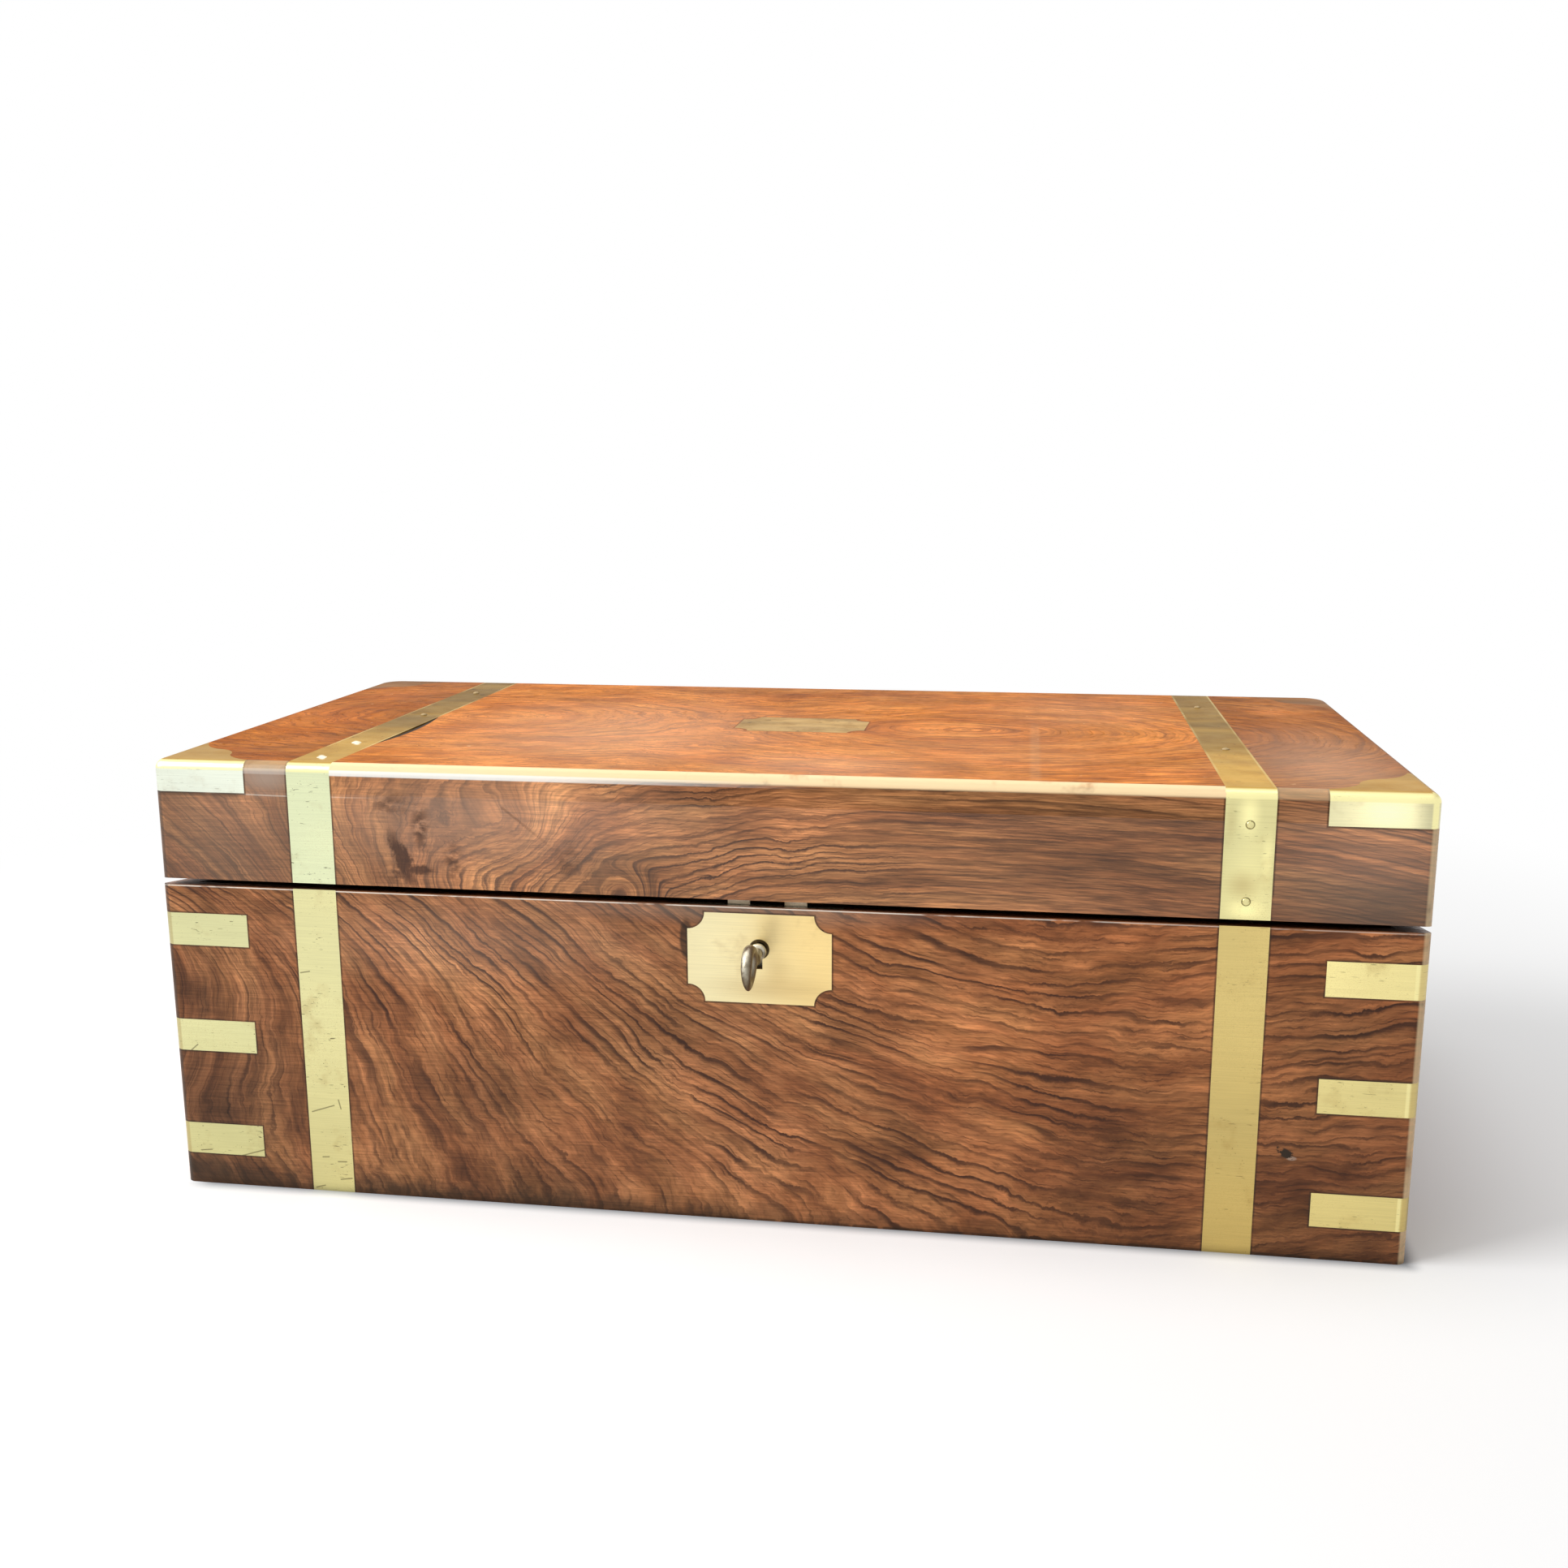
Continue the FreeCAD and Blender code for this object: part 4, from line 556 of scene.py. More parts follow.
def front_wear_and_shading(finish, place, body, colour):
    """Dirt and stains on the lock side, with painted light and shade and painted sheen."""
    colours, sizes = bpy.context.scene.desk_colours, bpy.context.scene.desk_sizes
    x, _, z = place
    line = sizes.grime_width
    straps = (abs(x - STRAP_LEFT)).least(abs(x - STRAP_RIGHT)) - STRAP_HALF
    if body == "lid":
        dusk = finish.noise(x * (1 / 70), 7.0, z * (1 / 40), 2.0)
        # painted light and shade: the lid's front lighter left of the middle and in the middle, with pools of
        # painted light and shade and of the wood's own colour
        painted_light = x.within(-165.0, -90.0, 30.0) * 0.36 + x.within(-40.0, 70.0, 70.0) * 0.24
        colour = finish.shade(colour, painted_light + pools(x, z, LID_TONE_AND_SHADING) + (dusk - 0.5) * 0.4 + 0.86)
        # painted sheen of reflected light over the lid's front
        colour = finish.blend(colour, colours.painted_sheen, pools(x, z, LID_SHEEN) + 0.06)
        # a short dark burr left of the lock and the glue line under the top
        ragged = (finish.noise(x * 0.30, 2.0, z * 0.16, 4.0, 0.65) - 0.5) * 14.0
        burr = gap(x + ragged + (z - BURR[0][1]) * 0.38, z, *BURR).rise(1.25, 0.45)
        hook = gap(x, z + ragged * 0.3, *HOOK).rise(1.2, 0.5)
        smoke = pools(x, z, LID_SMOKE) * finish.noise(x * 0.16, 2.0, z * 0.3, 3.0, 0.6).rise(0.36, 0.58)
        vein = beside(x + ragged * 0.12, z, *VEIN).rise(0.8, 0.2) * dusk.rise(0.3, 0.6) * 0.36
        colour = finish.blend(colour, colours.side_dark, (burr.most(hook) * 0.85).most(smoke).most(vein))
        glue = abs(z - CAP_FOOT + (dusk - 0.5) * 3.0).rise(0.40, 0.15) * x.rise(-150.0, -190.0)
        colour = finish.blend(colour, colours.bare_edge, glue * 0.32)
        caps = (CAP_REACH - abs(x)).most(CAP_FOOT - z)
        edge = straps.least(caps)
        # dirt and painted shade along the left cap's lower edge
        under = (CAP_FOOT - z).within(-0.5, 0.8, 1.6) * x.rise(-CAP_REACH + 2.0, -CAP_REACH - 4.0)
        colour = finish.blend(colour, colours.grime_and_shade, under * dusk.rise(0.2, 0.6) * 0.6)
    else:
        # painted light and shade: the base's front darker low on the right and at both ends, with pools of
        # painted light and shade and of the wood's own colour
        painted_light = x.rise(20.0, 110.0) * z.rise(60.0, 15.0) * -0.24
        painted_light = painted_light + x.rise(-150.0, -200.0) * -0.10 + x.rise(190.0, 200.0) * -0.14
        colour = finish.shade(colour, painted_light + pools(x, z, BASE_TONE_AND_SHADING) + 1.0)
        colour = finish.tint(colour, finish.blend((1.0, 1.0, 1.06), (1.05, 0.95, 0.90), x.rise(-20.0, 120.0)))
        # painted sheen of reflected light, and a greyer strip along the base's top edge
        colour = finish.blend(colour, colours.painted_sheen, pools(x, z, BASE_SHEEN))
        middle, half = (PLATE_LOW + PLATE_HIGH) / 2, (PLATE_HIGH - PLATE_LOW) / 2
        plate = hollowed_edge(x - middle.x, z - middle.z, half.x, half.z, PLATE_HOLLOW)
        edge = straps.least(angle_edge(x, z)).least(plate)
        # darker along the bottom, its lowest two millimetres a painted shade line, a sooty bottom-left corner
        # and a stain beside the lock plate
        soot_and_shade = finish.noise(x * (1 / 9), 3.0, z * (1 / 9), 3.0, 0.6)
        low = (z + (soot_and_shade - 0.5) * 16.0).rise(10.0, 0.5) * x.rise(120.0, -120.0).times_plus(0.7, 0.3)
        corner = (z * 0.75 + (x + HALF_WIDTH) * 0.16 + (soot_and_shade - 0.5) * 16.0).rise(20.0, 6.0)
        low = low.most(z.rise(2.0, 0.7) * soot_and_shade.rise(0.25, 0.50))
        stain = gap(x, z, *LOCK_STAIN).rise(1.1, 0.7)
        colour = finish.blend(colour, colours.grime_and_shade, low.most(corner).most(stain) * 0.8)
        chip = (finish.noise(x * 0.55, 6.0, z * 0.55, 3.0, 0.6) - 0.5) * 7.0
        gouge = gap(x + (z - 43.0) * 0.5 + chip, z - chip * 0.6, *GOUGE)
        colour = finish.blend(colour, colours.bare_edge, gap(x, z, *GOUGE_LIP).rise(1.1, 0.5) * 0.22)
        colour = finish.blend(colour, colours.grime_and_shade, gouge.rise(1.1, 0.7))
    # dirt along the edges of the brass, and painted shade of the gap along the caps' lower edge
    dirt = edge.rise(2.2 * line, 0.8 * line) * finish.noise(x * 0.09, 5.0, z * 0.09, 2.0).rise(0.22, 0.5)
    return finish.blend(colour, colours.grime_and_shade, dirt * 0.7)


def top_wear_and_shading(finish, place, colour):
    """Shading, partly painted light and shade, painted sheen, scratches and the open joint on the lid's top.
    """
    colours = bpy.context.scene.desk_colours
    x, y, _ = place
    depth = y - FRONT
    cloud = finish.noise(x * (1 / 80), y * (1 / 60), 2.0, 3.0, 0.55)
    # darker side panels, then pools of painted light and shade and of the wood's own colour
    panels = x.rise(-192.0, -196.0) * 0.36 + x.rise(192.0, 196.0) * 0.42
    colour = finish.shade(colour, (cloud - 0.5) * 0.55 + 1.06 - panels + pools(x, depth, TOP_TONE_AND_SHADING))
    colour = finish.tint(colour, finish.blend((1.0, 1.0, 1.0), (1.03, 0.93, 0.62), x.rise(-192.0, -196.0)))
    # painted sheen of reflected light on the top
    colour = finish.blend(colour, colours.top_painted_sheen, pools(x, depth, TOP_SHEEN))
    band = x.within(105.5, 107.5, 2.0) * depth.within(12.0, 120.0, 30.0)
    fleck = finish.noise(x * 0.22, y * 0.22, 4.0, 2.0).rise(0.73, 0.78)
    colour = finish.blend(colour, colours.worn_edge_and_highlight, band * 0.07 + fleck * 0.3)
    # the veneer has lifted along the left strap
    swell = (depth - CRACK_MIDDLE) * (1 / 40)
    crack = (STRAP_LEFT + STRAP_HALF - x + 4.0 - swell * swell * 4.2).rise(0.0, 0.7) * x.rise(-177.2, -176.7)
    crack = crack * depth.within(CRACK_START, CRACK_END, 1.5)
    colour = finish.blend(colour, colours.grime_and_shade, crack)
    plaque = hollowed_edge(x, y, *PLAQUE_HALF, PLAQUE_HOLLOW).rise(1.1, 0.3)
    return finish.blend(colour, colours.top_dark, plaque * 0.6)


def veneer(name, body, front=False, top=False):
    """Veneered board: its own figure on the lock side and on the top, plainer grain on the other faces."""
    colours = bpy.context.scene.desk_colours
    finish = new_finish(name)
    place = finish.place(body)
    x, y, z = place
    to_side, to_front, to_back = HALF_WIDTH - abs(x), y - FRONT, BACK - y
    figure, along = z + y * 0.12, x + y
    tones = [colours.side_light, colours.side_middle, colours.side_dark]
    stray = wander(finish, place, 3.6, 0.95)
    keen, soft, spacing = 1.0, 0.0, LID_SPACING
    if front:
        if body == "lid":
            rows = grain_levels(LID_PLACES, LID_GRAIN, LID_MIDDLE, LID_POWERS)
            middle, lean, faint = LID_MIDDLE, LID_RUN_LEAN, LID_FAINT
        else:
            rows = grain_levels(BASE_PLACES, BASE_GRAIN, BASE_MIDDLE, BASE_POWERS)
            middle, lean, faint = BASE_MIDDLE, BASE_RUN_LEAN, BASE_FAINT
            spacing = BASE_SPACING
        on_front = (to_front - to_side).rise(0.05, -0.05) * to_front.rise(5.0, 4.6)
        lines = level(rows, x * (1 / GRAIN_UNIT), (z - middle) * (1 / GRAIN_UNIT)) * GRAIN_UNIT
        run = x
        if body == "lid":
            lines = lines + pools(x, z, LID_KNOTS)
            stray = stray * (1.0 - x.rise(-20.0, 110.0) * 0.65)
            run = x.least(x * 0.45)
        figure = finish.choose(figure, lines, on_front)
        along = finish.choose(along, run + z * lean, on_front)
        keen = 1.0 - pools(x, z, faint).least(0.85) * on_front
    if top:
        on_top = z.rise(TOP - 1.6, TOP - 0.7)
        ovals = [gap(x, y, eye, (1.9, 1.0)) for eye in TOP_EYES]
        ovals = finish.node("ShaderNodeMath", {"operation": "SMOOTH_MIN"},
                            {0: ovals[0], 1: ovals[1], 2: EYES_BLEND})
        figure = finish.choose(figure, ovals * 0.74, on_top)
        along = finish.choose(along, x, on_top)
        stray = stray * on_top.times_plus(0.6, 1.0)
        keen, soft = keen * (1.0 - on_top * (pools(x, y, TOP_FAINT) + 0.35)), on_top * 0.62
        tones = [finish.blend(side, upper, on_top) for side, upper in
                 zip(tones, (colours.top_light, colours.top_middle, colours.top_dark))]
    colour, lines, pores = timber(finish, figure + stray, along, 1.0, *tones, spacing=spacing, keen=keen,
                                  soft=soft)
    thread = finish.noise(x * 0.07, y * (0.16 if top else 0.07), z * 1.5, 3.0, 0.65)
    coarse = 1.4
    if front and body == "lid":
        coarse = x.rise(-160.0, 60.0).times_plus(1.0, 1.6)
    if top:
        coarse = finish.choose(coarse, 1.3, on_top)
    colour = finish.shade(colour, ((0.5 - thread) * coarse + 1.0).most(0.4))
    if front:
        blotch = finish.noise((figure + stray) * 0.24, along * 0.06, 7.0, 4.0, 0.65)
        colour = finish.blend(colour, tones[2], blotch.rise(0.46, 0.66) * (1.0 - keen).least(0.55) * 0.9)
        colour = finish.blend(colour, front_wear_and_shading(finish, place, body, colour), on_front)
    if top:
        colour = finish.blend(colour, top_wear_and_shading(finish, place, colour), on_top)

    # inner and seam faces are plain and darker
    seam = (AXIS_Y - y) * SEAM_SLOPE + AXIS_Z
    rubbed = abs(z - seam)
    inner = to_side.least(to_front).least(to_back).rise(4.5, 4.8)
    if body == "lid":
        inner = inner * z.rise(TOP - 5.0, TOP - 5.4)
    seam_face = rubbed.rise(0.30, 0.22)
    colour = finish.blend(colour, colours.inside_dark, inner.most(seam_face) * 0.65)

    # wear: bare wood along the edges that hands and sleeves rub. The right upright edges are paler and the
    # left ones darker
    patch = finish.noise(x * (1 / 24), y * 0.04, z * 0.04, 4.0, 0.65)
    if body == "base":
        rim = rubbed.rise(0.85, 0.55) * (1 - seam_face) * patch.rise(0.34, 0.50)
        colour = finish.blend(colour, colours.bare_edge, rim * x.rise(210.0, 20.0).times_plus(0.5, 0.35))
    upright = to_side.rise(3.6, 2.4) * to_front.rise(4.0, 3.0)
    bare = upright * x.rise(-20.0, 20.0) * patch.rise(0.20, 0.50)
    colour = finish.blend(colour, colours.worn_edge_and_highlight, bare * 0.6)
    colour = finish.blend(colour, colours.grime_and_shade, upright * x.rise(20.0, -20.0) * 0.65)
    # the top's rounded front edge: bare wood with a painted highlight, and a painted glint under it
    if top:
        between = x.within(STRAP_LEFT + STRAP_HALF, STRAP_RIGHT - STRAP_HALF, 1.0).times_plus(0.72, 0.28)
        rounding = z.rise(TOP - 4.2, TOP - 3.0) * to_front.rise(4.6, 3.8)
        colour = finish.blend(colour, colours.worn_edge_and_highlight, rounding * patch.rise(0.20, 0.44) * between)
        glint = z.within(TOP - 4.6, TOP - 2.9, 0.6) * to_front.rise(4.6, 3.8) * x.rise(30.0, -110.0)
        colour = finish.blend(colour, colours.glint, glint * between.times_plus(0.9, -0.05))
    smudge = finish.cloud(place, 1 / 55, 3.0)
    return finish.surface(Base_Color=colour, Roughness=smudge * 0.16 + 0.30 + pores * 0.12,
                          Specular_IOR_Level=0.01 if top else 0.32 if body == "lid" else 0.2,
                          Normal=finish.bump(lines * -0.35 - pores, 0.00006, 0.6))


def old_brass(name, body, left, right, upper=None, span=210.0, nailed=False, keyhole=False, marks=1.0,
              glow=(), dull=()):
    """Brass let into the wood: brushed, scratched and pitted, brown where it lies on the top, with painted
    highlights and shade.
    """
    colours = bpy.context.scene.desk_colours
    finish = new_finish(name)
    place = finish.place(body)
    x, y, z = place
    depth = y - FRONT
    hue = finish.noise(x * (1 / 60), y * (1 / 45), z * (1 / 45), 2.0)
    cloud = finish.cloud(place, 1 / 13, 3.0, 0.6)
    brush = finish.noise(x * (1 / 26), y * (1 / 26) + 4.0, z * 3.2, 2.0)
    pits = finish.cloud(place, 1.5)
    scratch = finish.noise(x * 0.35 + z * 2.6, y * 2.8 - x * 0.3, z * 0.4 + x * 1.3, 1.0)
    colour = finish.blend(left, right, (x * (1 / span) + (hue - 0.5) * 0.9).rise(-1.0, 1.0))
    # the glow pools are painted highlights and shade, and the dull pools painted shade
    colour = finish.shade(colour, (hue - 0.5) * 0.40 + (0.5 - brush) * 0.24 + 1.0 + pools(x, z, glow))
    colour = finish.blend(colour, colours.brass_dull, pools(x, z, dull))
    if body == "base":
        colour = finish.tint(colour, finish.blend((0.90, 0.88, 0.80), (1.08, 1.10, 1.12), z.rise(5.0, 120.0)))
        # a painted highlight along the right angles' bend and painted shade on the angles' rounded corners
        to_side = HALF_WIDTH - abs(x)
        bend = to_side.within(4.0, 4.8, 0.5) * x.rise(-20.0, 20.0)
        colour = finish.blend(colour, colours.brass_highlight, bend * 0.45)
        colour = finish.blend(colour, colours.brass_dull, to_side.rise(3.8, 3.0) * 0.35)
    for first, last in SCRATCHES:
        cut = beside(x, z, first, last).rise(0.42, 0.12)
        colour = finish.blend(colour, colours.grime_and_shade, cut * (0.6 * marks))
    colour = finish.blend(colour, colours.brass_shaded, depth.rise(4.5, 9.0))
    colour = finish.blend(colour, colours.brass_dull, cloud.rise(0.54, 0.80) * 0.30)
    metallic = 1.0
    relief = cloud * 0.5 + brush * 0.04
    if body == "lid":
        on_top = z.rise(TOP - 2.2, TOP - 0.4)
        # painted light and shade of dents in the brass on the top
        dent_shading = finish.noise(x * (1 / 60), y * (1 / 16), 9.0, 2.0)
        fade = depth.rise(30.0, 115.0) * x.rise(0.0, 100.0).times_plus(-0.02, -0.68)
        fade = fade - depth.rise(115.0, 240.0) * 0.12 + 1.42
        brown = finish.shade(finish.blend(upper, colours.brass_dull, cloud.rise(0.40, 0.70) * 0.5),
                             (hue - 0.5) * 0.5 + (dent_shading - 0.5) * 0.9 + fade)
        brown = finish.tint(brown, finish.blend((1.0, 1.0, 1.0), (1.0, 0.96, 0.74), depth.rise(60.0, 200.0)))
        brown = finish.shade(brown, x.rise(-200.0, 200.0).times_plus(0.22, 0.88))
        far_cap = abs(x).rise(200.0, 210.0) * depth.rise(110.0, 200.0)
        brown = finish.tint(brown, finish.blend((1.0, 1.0, 1.0), (1.30, 0.95, 0.90), far_cap))
        # painted highlight along the straps' edges on the top
        rim = STRAP_HALF - abs(x - STRAP_LEFT).least(abs(x - STRAP_RIGHT))
        brown = finish.blend(brown, colours.brass_rim_highlight, rim.within(0.0, 0.7, 0.3) * hue.rise(0.35, 0.65) * 0.6)
        colour = finish.blend(colour, brown, on_top)
        metallic = 1.0 - on_top * 0.965
        # a painted highlight along the rounded front top edge and the right end
        rounding = depth.rise(4.2, 3.4) * z.within(TOP - 3.4, TOP - 0.6, 0.6)
        turned = (HALF_WIDTH - x).within(1.6, 3.2, 0.8) * depth.rise(4.2, 3.4)
        colour = finish.blend(colour, colours.brass_highlight, rounding.most(turned) * 0.8)
    dirt = pits.rise(0.66, 0.76) * cloud.rise(0.42, 0.62)
    nick = abs(scratch - 0.5).rise(0.012, 0.003) * hue.rise(0.45, 0.62)
    dash = finish.noise(x * 0.24 + z * 0.12, y * 0.24, z * 1.9, 1.0).rise(0.70, 0.76) * cloud.rise(0.40, 0.60)
    spots = dirt.most(dash) * x.rise(120.0, -120.0).times_plus(0.32, 0.48)
    colour = finish.blend(colour, colours.grime_and_shade, spots * marks)
    colour = finish.blend(colour, colours.brass_dull, nick * (0.5 * marks))
    if keyhole:
        # painted shade of the keyhole round the key's collar
        colour = finish.blend(colour, colours.grime_and_shade, gap(x, z, KEYHOLE, (4.3, 4.3)).rise(1.0, 0.93) * 0.95)
    if nailed:
        off_top = z.rise(TOP - 3.0, TOP - 2.0).times_plus(-20.0, 21.0)
        near = nearest_nail(x, depth, TOP_NAILS) * off_top.most(1.0)
        near = near.least(nearest_nail(x, z, FRONT_NAILS) * depth.rise(2.0, 3.0).times_plus(20.0, 1.0))
        ring = near.within(NAIL_HEAD - 0.2, NAIL_HEAD + 0.12, 0.2)
        colour = finish.blend(colour, colours.grime_and_shade, ring * 0.75)
        # painted highlight on the two front nails on the top
        shine = pools(x + depth * NAIL_LEAN, depth, NAIL_SHINE).least(1.0)
        colour = finish.blend(colour, colours.nail_highlight, shine * on_top)
        relief = relief - near.rise(7.0, 0.5) * 0.5
    return finish.surface(Base_Color=colour, Metallic=metallic, Roughness=cloud * 0.16 + brush * 0.10 + 0.20,
                          Specular_IOR_Level=0.01,
                          Normal=finish.bump(relief - nick * 0.05 - dirt * 0.06, 0.0006, 0.5))


class DESK_OT_veneer(bpy.types.Operator):
    """Figured veneer on the outer boards, with its grain drawn for each face"""

    bl_idname = "desk.veneer"
    bl_label = "Veneer the case"

    def execute(self, context):
        cover("lid_top_board", veneer("Veneer lid top", "lid", front=True, top=True))
        for body in ("base", "lid"):
            cover(f"{body}_front_board", veneer(f"Veneer {body} front", body, front=True))
            plain = veneer(f"Veneer {body} plain", body)
            for board in ("back_board", "left_side", "right_side"):
                cover(f"{body}_{board}", plain)
        return {"FINISHED"}


class DESK_OT_inside_wood(bpy.types.Operator):
    """Plain oiled wood on the bottom, the dividers, the strips, the pen tray and the flaps"""

    bl_idname = "desk.inside_wood"
    bl_label = "Oil the inside"

    def execute(self, context):
        colours = context.scene.desk_colours
        for body, nodes in (
            ("base", ("base_bottom_board", "compartment_divider", "inkwell_divider_left",
                      "inkwell_divider_right", "compartment_floor", "base_rest_strips", "pen_tray",
                      "upper_flap_board")),
            ("lid", ("lid_rest_strips", "lower_flap_board")),
        ):
            finish = new_finish(f"Oiled wood {body}")
            place = finish.place(body)
            x, y, z = place
            figure = y + z * 0.8 + wander(finish, place, 5.0, 0.8)
            tones = colours.inside_light, colours.inside_dark, colours.side_dark
            colour, lines, pores = timber(finish, figure, x, 100.0, *tones, strength=0.35)
            stain = finish.cloud(place, 1 / 40, 4.0, 0.6)
            colour = finish.blend(colour, colours.grime_and_shade, stain.rise(0.55, 0.80) * 0.45)
            material = finish.surface(Base_Color=colour, Roughness=stain * 0.2 + 0.38,
                                      Normal=finish.bump(lines * -0.4 - pores, 0.00008, 0.6))
            for node in nodes:
                cover(node, material)
        return {"FINISHED"}


class DESK_OT_brass(bpy.types.Operator):
    """Old brass on the straps, corners, plates, hinges and catches"""

    bl_idname = "desk.brass"
    bl_label = "Polish the brass"

    def execute(self, context):
        colours = context.scene.desk_colours
        for name, body, starts, left, right, extra in (
            ("Brass base straps", "base", ("base_front_strap", "base_back_strap"), colours.base_brass_left,
             colours.base_brass_right, {}),
            ("Brass lid straps", "lid", ("lid_strap_left", "lid_strap_right"), colours.lid_brass_left,
             colours.lid_brass_right, {"upper": colours.strap_brown, "nailed": True, "glow": STRAP_GLOW,
                                       "dull": STRAP_SHADE}),
            ("Brass corner angles", "base", ("base_corner",), colours.corner_brass_left,
             colours.corner_brass_right, {}),
            ("Brass corner caps", "lid", ("lid_corner",), colours.cap_brass_left_highlit,
             colours.cap_brass_right, {"upper": colours.cap_brown, "marks": 0.35, "glow": CAP_GLOW}),
            ("Brass plaque", "lid", ("lid_plaque",), colours.plaque_brass,
             colours.plaque_brass, {"upper": colours.plaque_brass}),
            ("Brass lock plate", "base", ("escutcheon",), colours.plate_brass_left,
             colours.plate_brass_right, {"span": 29.0, "keyhole": True, "marks": 0.15, "dull": PLATE_SHADE}),
            ("Brass link plate", "lid", ("link_plate",), colours.link_metal, colours.link_metal,
             {"upper": colours.link_metal, "dull": LINK_SHADE}),
            ("Brass fittings base", "base",
             ("base_hinge_leaf", "inkwell_cap", "lock_cap", "upper_flap_catch"),
             colours.base_brass_right, colours.base_brass_right, {}),
            ("Brass fittings lid", "lid", ("lid_hinge_leaf", "lower_flap_catch"), colours.base_brass_right,
             colours.base_brass_right, {"upper": colours.strap_brown}),
        ):
            material = old_brass(name, body, left, right, **extra)
            for node in NODES:
                if node.startswith(starts) and "screws" not in node:
                    cover(node, material)
        return {"FINISHED"}


class DESK_OT_steel(bpy.types.Operator):
    """Worn steel on the lock, the pins and the screws"""

    bl_idname = "desk.steel"
    bl_label = "Rub the steel"

    def execute(self, context):
        colours = context.scene.desk_colours
        finish = new_finish("Worn steel")
        place = finish.place()
        cloud = finish.cloud(place, 0.45, 4.0, 0.6)
        grit = finish.cloud(place, 2.4, 3.0, 0.6)
        colour = finish.blend(colours.steel, colours.rust, cloud.rise(0.48, 0.66) * 0.75)
        colour = finish.blend(colour, colours.grime_and_shade, grit.rise(0.58, 0.74) * 0.55)
        material = finish.surface(Base_Color=colour, Metallic=0.95, Roughness=cloud * 0.25 + 0.26,
                                  Normal=finish.bump(grit + cloud, 0.0002, 0.5))
        for node in ("lock_bolt", "lock_case", "lock_screws", "hinge_pin_left", "hinge_pin_right",
                     "base_hinge_screws", "lid_hinge_screws", "link_plate_screws"):
            cover(node, material)
        return {"FINISHED"}


def to_piece(shape, name, body, material):
    """Turn a bmesh in millimetres into a piece that rides on a body."""
    bmesh.ops.remove_doubles(shape, verts=shape.verts, dist=0.001)
    bmesh.ops.recalc_face_normals(shape, faces=shape.faces)
    bmesh.ops.scale(shape, vec=(1 / MM,) * 3, verts=shape.verts)
    for face in shape.faces:
        face.smooth = True
    mesh = bpy.data.meshes.new(name)
    shape.to_mesh(mesh)
    shape.free()
    mesh.set_sharp_from_angle(angle=math.radians(40.0))
    mesh.materials.append(material)
    piece = bpy.data.objects.new(name, mesh)
    bpy.context.scene.collection.objects.link(piece)
    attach(piece, body)
    return piece


